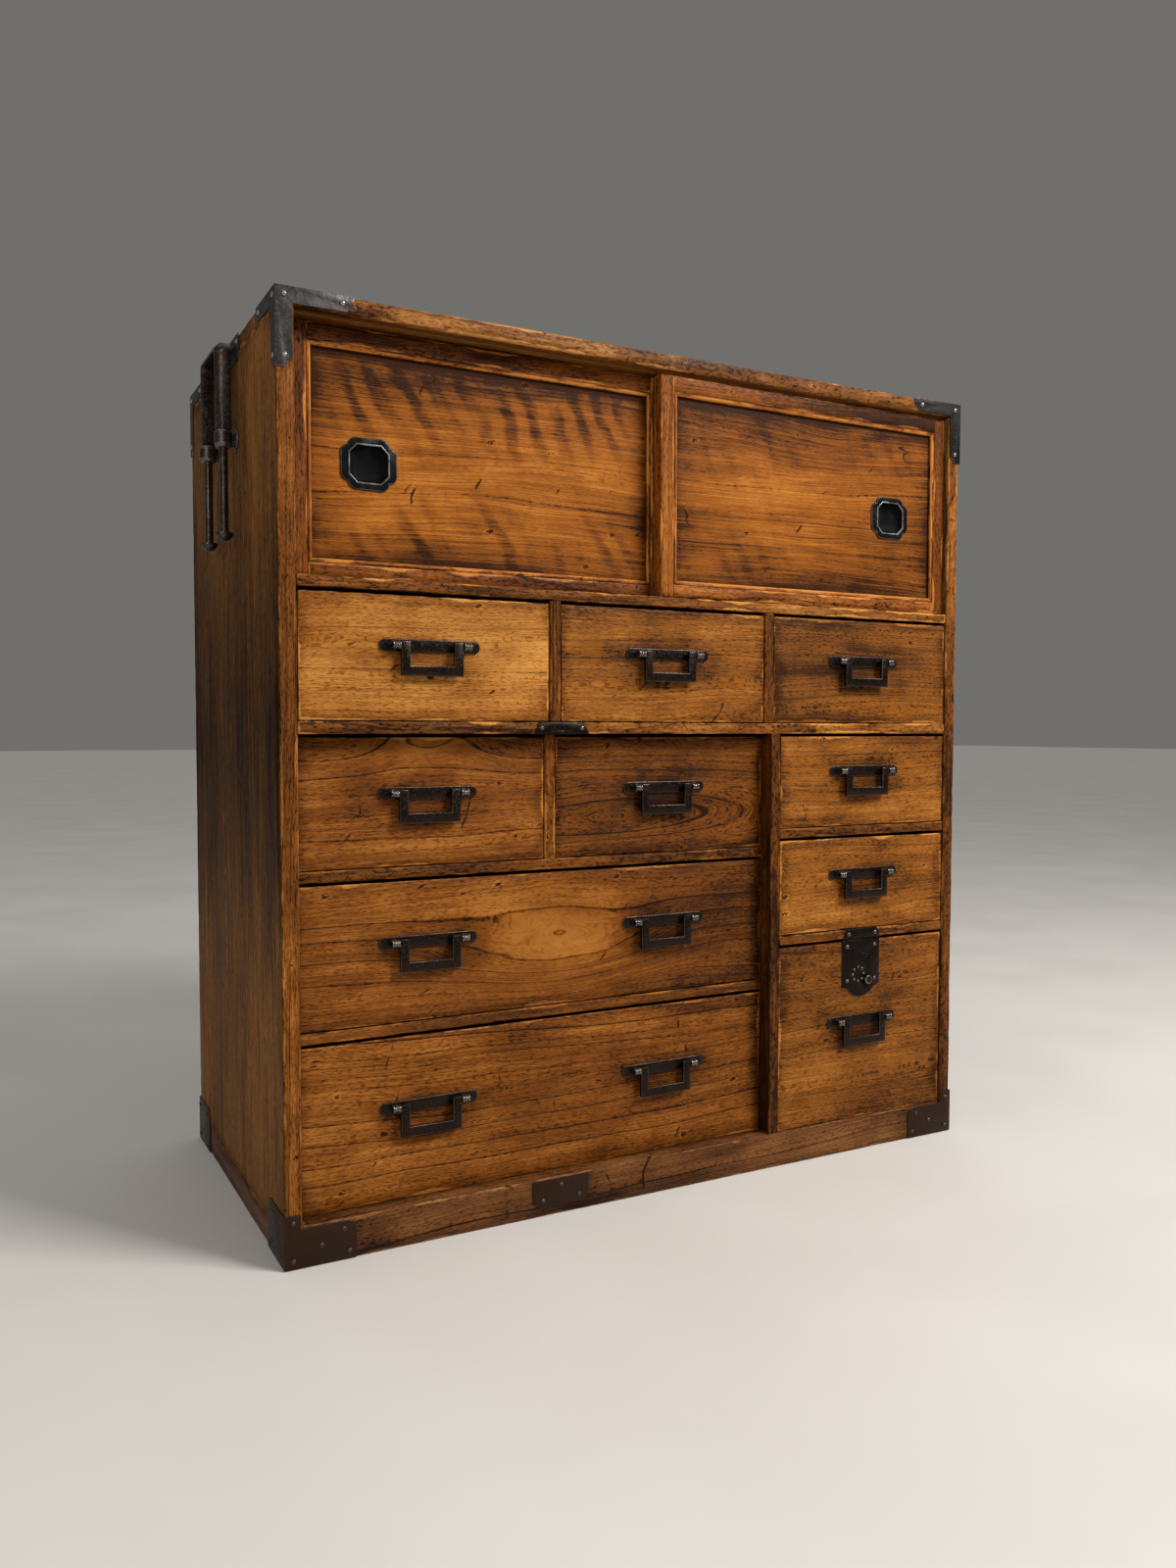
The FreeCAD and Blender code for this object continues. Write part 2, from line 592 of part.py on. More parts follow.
def make_drawers():
    row_left = upright_limits(ROW_LEFT_UPRIGHT_X)
    row_right = upright_limits(ROW_RIGHT_UPRIGHT_X)
    small = upright_limits(SMALL_UPRIGHT_X)
    column = upright_limits(COLUMN_UPRIGHT_X)
    row_z = (ROW_Z, DOOR_SHELF_Z)
    small_z = (SMALL_Z, ROW_SHELF_Z)
    flush_y = FRONT_Y + DRAWER_FACE_INSET
    bay_y = BAY_Y + DRAWER_FACE_INSET
    row = {
        "row_left": (-INNER_X, row_left[0]),
        "row_middle": (row_left[1], row_right[0]),
        "row_right": (row_right[1], INNER_X),
    }
    for name, x in row.items():
        make_drawer(name, x, row_z, flush_y, [sum(x) / 2])
    small_left_x = (-INNER_X, small[0])
    small_right_x = (small[1], column[0])
    bay_x = (-INNER_X, column[0])
    bay_handles = [sum(small_left_x) / 2 + BAY_LEFT_HANDLE_SHIFT, sum(small_right_x) / 2]
    wide_upper_z = (WIDE_UPPER_Z, WIDE_UPPER_TOP_Z)
    make_drawer("small_left", small_left_x, small_z, bay_y, bay_handles[:1], SMALL_HANDLE_DROP)
    make_drawer("small_right", small_right_x, small_z, bay_y, bay_handles[1:], SMALL_HANDLE_DROP)
    make_drawer("wide_upper", bay_x, wide_upper_z, bay_y, bay_handles, WIDE_UPPER_HANDLE_DROP)
    make_drawer("wide_lower", bay_x, (BASE_Z, WIDE_LOWER_TOP_Z), bay_y, bay_handles)
    side_x = (column[1], INNER_X)
    side_handle = [sum(side_x) / 2 + COLUMN_HANDLE_SHIFT]
    make_drawer("side_upper", side_x, (SIDE_UPPER_Z, ROW_SHELF_Z), flush_y, side_handle)
    make_drawer("side_middle", side_x, (SIDE_MIDDLE_Z, SIDE_MIDDLE_TOP_Z), flush_y, side_handle)
    make_drawer("side_lower", side_x, (BASE_Z, SIDE_LOWER_TOP_Z), flush_y, side_handle, lock=True)


def locking_drawer_middle():
    return (upright_limits(COLUMN_UPRIGHT_X)[1] + INNER_X) / 2 + LOCK_FROM_DRAWER_MIDDLE


def bolt_space(x, face_y, z):
    """The bolt's way up and down between height limits z, with its clearance."""
    half = BOLT_WIDTH / 2 + BOLT_CLEARANCE
    y = face_y + BOLT_BEHIND_FACE
    limits = (y - BOLT_CLEARANCE, y + BOLT_THICKNESS + BOLT_CLEARANCE)
    return block((x - half, x + half), limits, z)


def bolt_mortise(x, face_y, top_z):
    return bolt_space(x, face_y, (top_z - BOLT_LENGTH - 2 * BOLT_CLEARANCE, top_z))


def keeper_slot():
    """The slot in the board above the locking drawer that its bolt rises into."""
    z = (SIDE_LOWER_TOP_Z, SIDE_LOWER_TOP_Z + BOLT_TRAVEL + BOLT_CLEARANCE)
    return bolt_space(locking_drawer_middle(), FRONT_Y + DRAWER_FACE_INSET, z)


def make_lock_bolt(x, face_y, top_z):
    half = BOLT_WIDTH / 2
    y = face_y + BOLT_BEHIND_FACE
    z = top_z - BOLT_CLEARANCE
    return block((x - half, x + half), (y, y + BOLT_THICKNESS), (z - BOLT_LENGTH, z))


def button_hole(x, face_y, top_z):
    """The blind hole that the lock's button is pressed into, through the plate and the wood."""
    place = V(x + BUTTON_X, face_y - IRON_SHEET, top_z - BUTTON_DROP)
    depth = IRON_SHEET + BUTTON_SINK + BUTTON_TRAVEL + BUTTON_CLEARANCE
    return rod(BUTTON_DIAMETER + 2 * BUTTON_CLEARANCE, place, INWARD, depth)


def make_lock_button(x, face_y, top_z):
    place = V(x + BUTTON_X, face_y - IRON_SHEET - BUTTON_REACH, top_z - BUTTON_DROP)
    button = rod(BUTTON_DIAMETER, place, INWARD, BUTTON_REACH + IRON_SHEET + BUTTON_SINK)
    rim = [edge for edge in button.Edges if near(edge.BoundBox.YMax, place.y)]
    return button.makeFillet(BUTTON_ROUND, rim)


def make_lock_plate(x, face_y, top_z):
    """The lock plate with its stepped and rounded foot, key hole, studs and nails."""
    half = LOCK_WIDTH / 2
    y = face_y - IRON_SHEET
    neck = half - LOCK_SHOULDER_STEP
    neck_z = top_z - LOCK_HEIGHT + LOCK_FOOT
    shoulder_z = neck_z + LOCK_SHOULDER_SLOPE
    right = [V(x + neck, y, neck_z), V(x + half, y, shoulder_z), V(x + half, y, top_z)]
    left = [V(x - half, y, top_z), V(x - half, y, shoulder_z), V(x - neck, y, neck_z)]
    foot = Part.Arc(left[2], V(x, y, top_z - LOCK_HEIGHT), right[0]).toShape()
    outline = Part.Wire(Part.makePolygon(right + left).Edges + [foot])
    plate = Part.Face(outline).extrude(INWARD * IRON_SHEET)
    key_hole = V(x + KEY_HOLE_X, y, top_z - KEY_HOLE_DROP)
    plate = plate.cut(rod(KEY_HOLE_DIAMETER, key_hole, INWARD, IRON_SHEET))
    plate = plate.cut(button_hole(x, face_y, top_z))
    trim = []
    for nail_x in (x - half + NAIL_MARGIN, x + half - NAIL_MARGIN):
        for nail_z in (top_z - NAIL_MARGIN, shoulder_z + NAIL_MARGIN):
            trim.append(iron_nail(V(nail_x, y, nail_z), OUTWARD))
    for index in range(STUD_COUNT):
        turn = 2 * math.pi * index / STUD_COUNT
        stud_x = x + STUD_RING_X + STUD_RING * math.cos(turn)
        stud_z = top_z - STUD_RING_DROP + STUD_RING * math.sin(turn)
        trim.append(dome(STUD_DIAMETER, STUD_HEIGHT, V(stud_x, y, stud_z), OUTWARD))
    return [plate] + trim


def scooped(arm, corner, axis):
    """An arm of a strap with a round bite out of the inner corner of its end."""
    diameter = 2 * STRAP_SCOOP
    return arm.cut(rod(diameter, corner - axis * STRAP_SCOOP, axis, diameter))


def make_corner_strap():
    """The strap round the top left front corner, an L on the front and an L on the side."""
    top = CASE_HEIGHT
    front = (FRONT_Y - IRON_SHEET, FRONT_Y)
    side = (LEFT_X - IRON_SHEET, LEFT_X)
    end_x = LEFT_X + STRAP_LENGTH
    end_y = FRONT_Y + STRAP_LENGTH
    end_z = top - STRAP_LENGTH
    across_x = LEFT_X + STRAP_WIDTH
    across_y = FRONT_Y + STRAP_WIDTH
    across_z = top - STRAP_WIDTH
    arms = [
        scooped(block((LEFT_X, end_x), front, (across_z, top)), V(end_x, FRONT_Y, across_z), INWARD),
        scooped(block((LEFT_X, across_x), front, (end_z, top)), V(across_x, FRONT_Y, end_z), INWARD),
        scooped(block(side, (front[0], end_y), (across_z, top)), V(LEFT_X, end_y, across_z), ACROSS),
        scooped(block(side, (front[0], across_y), (end_z, top)), V(LEFT_X, across_y, end_z), ACROSS),
    ]
    near_nail = STRAP_WIDTH / 2
    far_nail = STRAP_LENGTH - NAIL_MARGIN - STRAP_SCOOP / 2
    nails = []
    for along, down in ((near_nail, near_nail), (far_nail, near_nail), (near_nail, far_nail)):
        nails.append(iron_nail(V(LEFT_X + along, front[0], top - down), OUTWARD))
        nails.append(iron_nail(V(side[0], FRONT_Y + along, top - down), -ACROSS))
    return [joined(arms)] + nails


def iron_nail(point, normal):
    return dome(NAIL_DIAMETER, NAIL_HEIGHT, point, normal)


def make_corner_shoe():
    """The plate round the left front corner of the base, with an upstand on the case's edge."""
    front = (FRONT_Y - IRON_SHEET, FRONT_Y)
    side = (LEFT_X - IRON_SHEET, LEFT_X)
    end_x = LEFT_X + SHOE_FRONT_LENGTH
    end_y = FRONT_Y + SHOE_SIDE_LENGTH
    foot = block((LEFT_X, end_x), front, (SHOE_FLOOR_GAP, SHOE_HEIGHT))
    corner = edges_where(foot, lambda p: near(p.x, end_x) and near(p.z, SHOE_HEIGHT))
    foot = foot.makeFillet(SHOE_ROUND, corner)
    upstand = block((LEFT_X, LEFT_X + STRAP_WIDTH), front, (SHOE_FLOOR_GAP, SHOE_UPSTAND))
    wing = block(side, (front[0], end_y), (SHOE_FLOOR_GAP, SHOE_UPSTAND))
    corner = edges_where(wing, lambda p: near(p.y, end_y) and near(p.z, SHOE_UPSTAND))
    wing = wing.makeFillet(SHOE_ROUND, corner)
    low = SHOE_FLOOR_GAP + NAIL_MARGIN
    high = SHOE_UPSTAND - NAIL_MARGIN
    far = SHOE_FRONT_LENGTH - NAIL_MARGIN
    far_side = SHOE_SIDE_LENGTH - NAIL_MARGIN
    step = SHOE_HEIGHT - NAIL_MARGIN
    corner_nails = [(NAIL_MARGIN, low), (NAIL_MARGIN, high)]
    middle_nail = (SHOE_FRONT_LENGTH / 2, SHOE_HEIGHT / 2)
    nails = []
    for along, z in corner_nails + [middle_nail, (far, low), (far - SHOE_ROUND / 2, step)]:
        nails.append(iron_nail(V(LEFT_X + along, front[0], z), OUTWARD))
    for along, z in corner_nails + [(far_side, low), (far_side - SHOE_ROUND / 2, high)]:
        nails.append(iron_nail(V(side[0], FRONT_Y + along, z), -ACROSS))
    return [joined([foot, upstand, wing])] + nails


def make_base_plate():
    half = BASE_PLATE_WIDTH / 2
    top = BASE_Z - BASE_PLATE_DROP
    foot = top - BASE_PLATE_HEIGHT
    y = FRONT_Y - IRON_SHEET
    cut = BASE_PLATE_CHAMFER
    left = [(-half, top), (-half, foot + cut), (cut - half, foot)]
    outline = left + [(-x, z) for x, z in reversed(left)]
    plate = outline_plate([(BASE_PLATE_X + x, z) for x, z in outline], y, IRON_SHEET)
    nails = [iron_nail(V(BASE_PLATE_X, y, top - NAIL_MARGIN), OUTWARD)]
    for x in (cut + NAIL_MARGIN / 2 - half, half - cut - NAIL_MARGIN / 2):
        nails.append(iron_nail(V(BASE_PLATE_X + x, y, foot + NAIL_MARGIN), OUTWARD))
    return [plate] + nails


def make_rail_plate(x, width, z, hole=0.0):
    """A keeper plate over the front edge of a board between heights z, with its upper corners drawn in."""
    half = width / 2
    y = FRONT_Y - IRON_SHEET
    top_half = half - KEEP_PLATE_SLOPE
    outline = [(-half, z[0]), (half, z[0]), (top_half, z[1]), (-top_half, z[1])]
    plate = outline_plate([(x + dx, height) for dx, height in outline], y, IRON_SHEET)
    middle = sum(z) / 2
    if hole:
        plate = plate.cut(rod(hole, V(x, y, middle), INWARD, IRON_SHEET))
    reach = top_half - NAIL_DIAMETER / 2
    return [plate] + [iron_nail(V(x + side * reach, y, middle), OUTWARD) for side in (-1, 1)]


def make_guard_plate():
    """The plate on the left side, behind the pole handle, that the pole and bow rub on."""
    half = GUARD_LENGTH / 2
    side = (LEFT_X - IRON_SHEET, LEFT_X)
    y = (MIDDLE_Y - half, MIDDLE_Y + half)
    z = (CASE_HEIGHT - GUARD_HEIGHT, CASE_HEIGHT)
    plate = block(side, y, z)
    nails = []
    for nail_y in (y[0] + NAIL_MARGIN, y[1] - NAIL_MARGIN):
        nails.append(iron_nail(V(side[0], nail_y, CASE_HEIGHT - NAIL_MARGIN), -ACROSS))
    return [plate] + nails


def make_irons():
    front_left = make_corner_strap() + make_corner_shoe()
    back_left = [mirrored_front_back(piece) for piece in front_left]
    left = front_left + back_left + make_guard_plate()
    right = [mirrored_left_right(piece) for piece in left]
    keep = make_rail_plate(KEEP_PLATE_X, KEEP_PLATE_WIDTH, (ROW_SHELF_Z, ROW_Z), KEEP_HOLE_DIAMETER)
    keeper = make_rail_plate(locking_drawer_middle(), LOCK_WIDTH, (SIDE_LOWER_TOP_Z, SIDE_MIDDLE_Z))
    parts["corner_irons"] = group(left + right + make_base_plate() + keep + keeper)


def rod_places():
    return (MIDDLE_Y - ROD_SPACING / 2, MIDDLE_Y + ROD_SPACING / 2)


def make_sleeve(y):
    """An eye on the left side that one rod of the pole handle slides in."""
    x = LEFT_X - ROD_STAND_OFF
    eye = rod(SLEEVE_DIAMETER, V(x, y, SLEEVE_Z), UP, SLEEVE_HEIGHT)
    neck = block((x, LEFT_X), (y - SLEEVE_NECK / 2, y + SLEEVE_NECK / 2), (SLEEVE_Z, SLEEVE_TOP_Z))
    middle_z = (SLEEVE_Z + SLEEVE_TOP_Z) / 2
    washer = rod(SLEEVE_WASHER_DIAMETER, V(LEFT_X - SLEEVE_WASHER, y, middle_z), ACROSS, SLEEVE_WASHER)
    bore = rod(ROD_DIAMETER + 2 * ROD_CLEARANCE, V(x, y, SLEEVE_Z), UP, SLEEVE_HEIGHT)
    return joined([eye, neck, washer]).cut(bore)


def arched_block(x, y, z, radius):
    """A block whose two upper edges along X are rounded."""
    shape = block(x, y, z)
    along_x = [edge for edge in shape.Edges if near(edge.BoundBox.XLength, x[1] - x[0])]
    return shape.makeFillet(radius, [edge for edge in along_x if near(edge.BoundBox.ZMin, z[1])])


def make_pole_handle():
    """The left pole handle: a bow of flat bar, bevelled on its outer rim, on two rods with mushroom heads."""
    x = LEFT_X - ROD_STAND_OFF
    bar_x = (x - BOW_WIDTH / 2, x + BOW_WIDTH / 2)
    foot_z = SLEEVE_TOP_Z + POLE_REST_GAP
    top_z = foot_z + BOW_HEIGHT
    half = (ROD_SPACING + BOW_THICKNESS) / 2
    outer_y = (MIDDLE_Y - half, MIDDLE_Y + half)
    inner_y = (outer_y[0] + BOW_THICKNESS, outer_y[1] - BOW_THICKNESS)
    inner_z = top_z - BOW_THICKNESS

    def on_outer_rim(edge):
        return near(edge.BoundBox.XMax, bar_x[0]) and edge.BoundBox.ZMax > foot_z + BOW_THICKNESS

    outer = arched_block(bar_x, outer_y, (foot_z, top_z), BOW_OUTER_ROUND)
    outer = outer.makeChamfer(BOW_BEVEL, [edge for edge in outer.Edges if on_outer_rim(edge)])
    inner = arched_block(bar_x, inner_y, (foot_z, inner_z), BOW_INNER_ROUND)
    pieces = [outer.cut(inner)]
    head_z = SLEEVE_Z - POLE_TRAVEL - POLE_REST_GAP
    for y in rod_places():
        rim = V(x, y, head_z - ROD_HEAD_RIM)
        pieces.append(rod(ROD_DIAMETER, V(x, y, head_z), UP, foot_z + BOW_THICKNESS - head_z))
        pieces.append(rod(ROD_HEAD_DIAMETER, rim, UP, ROD_HEAD_RIM))
        pieces.append(dome(ROD_HEAD_DIAMETER, ROD_HEAD_DOME, rim, -UP))
    return joined(pieces)


def make_pole_handles():
    handle = make_pole_handle()
    sleeves = [make_sleeve(y) for y in rod_places()]
    parts["left_pole_handle"] = handle
    parts["right_pole_handle"] = mirrored_left_right(handle)
    parts["pole_handle_sleeves"] = group(sleeves + [mirrored_left_right(sleeve) for sleeve in sleeves])


make_case()
make_doors()
make_drawers()
make_irons()
make_pole_handles()

os.makedirs("parts", exist_ok=True)
for node, shape in parts.items():
    shape.exportStep("parts/" + node + ".step")
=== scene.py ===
import json
import math
import random

import bmesh
import bpy
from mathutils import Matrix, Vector

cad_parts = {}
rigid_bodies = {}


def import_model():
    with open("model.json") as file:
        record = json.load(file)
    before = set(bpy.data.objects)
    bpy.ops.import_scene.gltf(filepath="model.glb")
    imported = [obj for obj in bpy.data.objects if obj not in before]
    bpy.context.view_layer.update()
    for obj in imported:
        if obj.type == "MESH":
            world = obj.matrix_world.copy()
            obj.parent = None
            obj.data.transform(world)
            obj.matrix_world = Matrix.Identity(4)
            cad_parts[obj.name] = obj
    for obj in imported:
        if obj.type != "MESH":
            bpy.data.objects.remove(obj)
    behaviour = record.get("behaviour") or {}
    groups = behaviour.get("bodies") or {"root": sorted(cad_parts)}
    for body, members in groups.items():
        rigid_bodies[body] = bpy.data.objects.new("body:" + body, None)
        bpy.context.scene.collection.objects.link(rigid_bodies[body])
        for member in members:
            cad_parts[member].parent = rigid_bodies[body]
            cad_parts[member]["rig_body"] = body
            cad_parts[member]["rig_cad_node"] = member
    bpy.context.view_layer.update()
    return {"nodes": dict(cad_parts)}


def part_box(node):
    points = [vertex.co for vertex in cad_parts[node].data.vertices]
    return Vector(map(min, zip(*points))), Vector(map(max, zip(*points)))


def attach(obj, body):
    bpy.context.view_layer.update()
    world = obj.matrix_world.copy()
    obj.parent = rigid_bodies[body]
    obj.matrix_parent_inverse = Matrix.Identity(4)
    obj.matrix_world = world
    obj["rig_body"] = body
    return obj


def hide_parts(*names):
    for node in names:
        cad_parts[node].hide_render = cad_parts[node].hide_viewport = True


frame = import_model()

# A merchant chest with sliding doors, ten drawers and iron fittings.
# Metres. +Z is up, the front looks along -Y, and X runs from left to right.

MM = 0.001
X, Y, Z = 0, 1, 2

# What still counts as the same point, as on a face, and, in degrees, as one flat face
TOUCH = 0.01 * MM
SKIN = 0.5 * MM
FLAT_ANGLE = 0.5

# Play that the cabinet maker left round drawers and doors, and what was planed off the drawers' tops since
SIDE_GAP = 0.8 * MM
TOP_GAP = 2.0 * MM
RUN_GAP = 0.4 * MM
FACE_INSET = 1.5 * MM
LIFT_GAP = 3.0 * MM
PLANED = 1.2 * MM

# Arrises of the boards, what chips take off them, and how far apart a board is cut up for its wear
ARRIS = 1.3 * MM
CHIP = 1.2 * MM
CUT_STEP = 9 * MM
TOP_ARRIS = 2.2 * MM
TOP_CHIP = 2.6 * MM
TOP_CUT_STEP = 7 * MM
BASE_ARRIS = 2 * MM
SIDE_CHIP = 1.5 * MM
UPRIGHT_CHIP = 1.7 * MM
RAIL_ARRIS = 1.6 * MM
RAIL_CHIP = 1.8 * MM
FRONT_ARRIS = 1.2 * MM
FRONT_CHIP = 1.1 * MM
LIGHT_WEAR = {"arris": 1 * MM, "chip": 0.8 * MM}
BOX_WEAR = {"arris": 0.8 * MM, "chip": 0.5 * MM, "step": 20 * MM}

# Case
BACK_BOARD_COUNT = 5
BACK_SEAM = 0.4 * MM
SIDE_EDGE = 2 * MM
SPILL = 1 * MM

# Sliding doors
STILE = 18 * MM
TOP_RAIL = 18 * MM
FOOT_RAIL = 15 * MM
PANEL_SINK = 5 * MM
PANEL_THICKNESS = 5 * MM
BEAD_WIDTH = 5 * MM
BEAD_HEIGHT = 4.5 * MM
BEAD_ROUND = 2.4 * MM
BEAD_ARRIS = 0.4 * MM
# Depth from the bead's top over which its painted highlight reaches
BEAD_HIGHLIGHT_DEPTH = 2 * MM
TONGUE = 8 * MM
TENON = 3 * MM
SILL_GROOVE = 3 * MM
HEAD_GROOVE = 10 * MM
# How far in from a panel's rim soil and painted shade reach
RIM_SOIL_AND_SHADE = 26 * MM

# Finger pulls. Each step of the hollow draws in by a share and goes back by a depth in millimetres.
CUP_WIDTH = 41 * MM
CUP_HEIGHT = 38 * MM
CUP_CORNER = 8 * MM
CUP_PLAY = 1 * MM
CUP_CUT = (4 * MM, 16 * MM)
PULL_RIM = 2 * MM
PULL_BEAD_GROWTH = 3.4 * MM
PULL_BEAD_CORNER = CUP_CORNER + 1 * MM
PULL_BEAD_WIDTH = 1.6 * MM
PULL_BEAD_HEIGHT = 1.1 * MM
PULL_BEAD_SINK = 0.1 * MM
HOLLOW_SHRINK = 0.2 * MM
HOLLOW_STEPS = ((0.96, 2.4), (0.9, 2.6), (0.78, 1.5), (0.55, 0.7), (0.25, 0.3))

# Drawers and their handles
DRAWER_FRONT = 16 * MM
DRAWER_WALL = 9 * MM
DRAWER_FLOOR = 6 * MM
DRAWER_FLOOR_RAISE = 4 * MM
STAIN_DROP = 8 * MM
HANDLE_PLATE_LENGTH = 112 * MM
HANDLE_PLATE_HEIGHT = 13.4 * MM
HANDLE_PLATE_THICKNESS = 2 * MM
POST_DIAMETER = 6.6 * MM
POST_COLLAR = 9 * MM
POST_COLLAR_RISE = 1.2 * MM
EYE_DIAMETER = 9 * MM
EYE_LENGTH = 8.6 * MM
EYE_WAIST = 0.72
PIN_DIAMETER = 4 * MM
PIN_LENGTH = 5 * MM
PIN_PLAY = 0.4 * MM
BAIL_LEG = 10 * MM
BAIL_BAR = 10.4 * MM
STOP_NAIL_DIAMETER = 7 * MM
STOP_NAIL_HEIGHT = 3 * MM
TAIL_SIZE = (3 * MM, 2 * MM, 14 * MM)

# Lock, and the dark discs of painted shade behind the key holes in its plate and in the keep plate under the
# row of drawers
BOLT_PLAY = 0.4 * MM
BOLT_TRAVEL = 8 * MM
KEY_HOLE_DIAMETER = 5.4 * MM
KEY_HOLE_THICKNESS = 0.6 * MM
KEY_HOLE_PROUD = 0.4 * MM
KEY_HOLE_ARRIS = 0.2 * MM
KEY_HOLE_ASIDE = 8 * MM
KEY_HOLE_DROP = 21 * MM
KEEP_HOLE_X = -140.5 * MM

# Corner straps, base plates and the heights between which the keep plates of the lock are
STRAP_REACH = 80 * MM
BASE_PLATE_REACH = 100 * MM
BASE_PLATE_X = -141.5 * MM
KEEP_PLATES_Z = (0.1, 0.8)

# Largest facet of a domed nail head, in square metres, and the rounding that the file left on iron edges
NAIL_FACET = 1.5e-6
STRAP_FILING = 0.35 * MM
FINE_FILING = 0.4 * MM
PLAIN_FILING = 0.5 * MM
ROUND_FILING = 0.7 * MM
PLATE_FILING = 0.8 * MM
BAIL_FILING = 0.9 * MM
NECK_FILING = 1.5 * MM
WASHER_FILING = 1 * MM

# Collars of the pole handles
SLEEVE_DIAMETER = 20 * MM
SLEEVE_HEIGHT = 20 * MM
SLEEVE_ROUND = 5 * MM
NECK_WIDTH = 10 * MM
NECK_SINK = 6 * MM
NECK_SHOULDER = 3 * MM
WASHER_DIAMETER = 26 * MM
WASHER_THICKNESS = 2.4 * MM
ROD_DIAMETER = 9 * MM
ROD_PLAY = 0.4 * MM

DRAWERS = (
    "row_left", "row_middle", "row_right", "small_left", "small_right",
    "wide_upper", "wide_lower", "side_upper", "side_middle", "side_lower",
)
BAY_DRAWERS = ("small_left", "small_right", "wide_upper", "wide_lower")

# How a board was cut from its log. Pith is the log's slope to the grain, and its heart's place across and
# behind the board. Knot is the knot's place along and across the board, and its reach each way. Shade is a
# change of tone. On the row drawers it also holds painted light: lighter at left with a painted sheen, darker
# to the right.
CUTS = {
    # Painted light on the three row drawers: lighter at left, darker towards the right
    "row_left": {"shade": 0.05},
    "row_middle": {"shade": -0.04},
    "row_right": {"shade": -0.2},
    "small_left": {"pith": (0.03, 0.22, 0.05), "knot": (0.003, 0.07, 0.055, 0.035), "shade": 0.06},
    "small_right": {"pith": (0.15, -0.03, 0.02), "shade": -0.18},
    "wide_upper": {"pith": (0.02, -0.16, 0.03), "knot": (0.01, 0.006, 0.115, 0.046), "shade": -0.13},
    "wide_lower": {"pith": (-0.05, 0.14, 0.03), "shade": 0.02},
    "side_upper": {"shade": -0.05},
    "side_middle": {"shade": 0.03},
    "side_lower": {"pith": (0.05, 0.24, 0.05), "shade": -0.14},
}
RIGHT_SIDE_PITH = (0.03, 0.3, 0.06)
RAIL_SHADE = -0.08
COLUMN_SHADE = -0.2
# Painted shadow of the top board on the doors' top rails
DOOR_TOP_RAIL_PAINTED_SHADOW = -0.14
# Painted shade in the gaps between parts, on wood behind a front arris
GAP_PAINTED_SHADE = -0.75
NO_KNOT = (10, 10, 1, 1)
NO_IRON = (9, 9, 9)

# Camera and studio. The lens and its sensor are in millimetres and turns in degrees. A soft light has a name,
# a place, a width and height, a power and a tint.
CAMERA_LENS = 27.34
CAMERA_SENSOR = 36
CAMERA_PLACE = (-0.7434, -1.4016, 0.5478)
CAMERA_TURN = (87.35, -0.09, -28.31)
LIGHT_TARGET = (0, 0, 0.5)
SOFT_LIGHTS = (
    ("key_light", (1.5, -2.1, 2.6), (1.2, 1.0), 135, (1.0, 0.97, 0.93)),
    ("fill_light", (-2.4, -2.3, 1.5), (1.8, 1.8), 24, (1.0, 0.98, 0.95)),
)
SKY_POWER = 0.9
SKY_SPREAD = 80
ROOM_TINT = (0.92, 0.885, 0.83, 1.0)
ROOM_POWER = 0.18
STUDIO_FLOOR_SIZE = 60
STUDIO_FLOOR_COLOURS = ((0.575, 0.555, 0.525), (0.595, 0.575, 0.545))


# Where things are

def limits(node):
    low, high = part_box(node)
    return [(low[axis], high[axis]) for axis in range(3)]


def opening(name):
    """Limits in X and Z of the hole in the case that a drawer fills."""
    x, y, z = limits(name + "_drawer_front")
    return (x[0] - SIDE_GAP, x[1] + SIDE_GAP), (z[0] - RUN_GAP, z[1] + TOP_GAP)


TOP = limits("top_board")
LEFT = limits("left_side_panel")
RIGHT = limits("right_side_panel")
BOTTOM = limits("bottom_board")
BACK = limits("back_boards")
FRONT_Y = TOP[Y][0]
BACK_Y = TOP[Y][1]
INNER_BACK_Y = BACK[Y][0]
INNER_X = (LEFT[X][1], RIGHT[X][0])
TOP_UNDER = TOP[Z][0]
BAY_Y = limits("small_left_drawer_front")[Y][0] - FACE_INSET
SILL = limits("left_door")[Z][0] + SILL_GROOVE - RUN_GAP
ROW_SHELF_Z = (opening("small_left")[1][1], opening("row_left")[1][0])
DOOR_SHELF_Z = (opening("row_left")[1][1], SILL)


# Hand tools

def deselect():
    bpy.ops.object.select_all(action="DESELECT")


def make_active(obj):
    deselect()
    obj.select_set(True)
    bpy.context.view_layer.objects.active = obj


def settled():
    """The piece just added, with its place, turn and size put into its mesh."""
    bpy.ops.object.transform_apply(location=True, rotation=True, scale=True)
    return bpy.context.object


def around(middle, size):
    """A range of a size with its middle at a place."""
    return middle - size / 2, middle + size / 2


def wider(reach, play):
    return reach[0] - play, reach[1] + play


def corners(x, y, z):
    return [Vector(corner) for corner in zip(x, y, z)]


def block(x, y, z):
    """A straight-edged block that fills a range along each axis."""
    low, high = corners(x, y, z)
    deselect()
    bpy.ops.mesh.primitive_cube_add(size=1, location=(low + high) / 2, scale=high - low)
    return settled()


def rod(diameter, length, place, axis, sides=24):
    """A round bar whose middle is at a place."""
    turn = {X: (0, math.pi / 2, 0), Y: (math.pi / 2, 0, 0), Z: (0, 0, 0)}[axis]
    deselect()
    bpy.ops.mesh.primitive_cylinder_add(
        vertices=sides, radius=diameter / 2, depth=length, location=place, rotation=turn)
    return settled()


def edit(obj):
    make_active(obj)
    bpy.ops.object.mode_set(mode="EDIT")
    bpy.ops.mesh.select_mode(type="VERT")
    bpy.ops.mesh.select_all(action="DESELECT")


def leave_edit():
    bpy.ops.object.mode_set(mode="OBJECT")


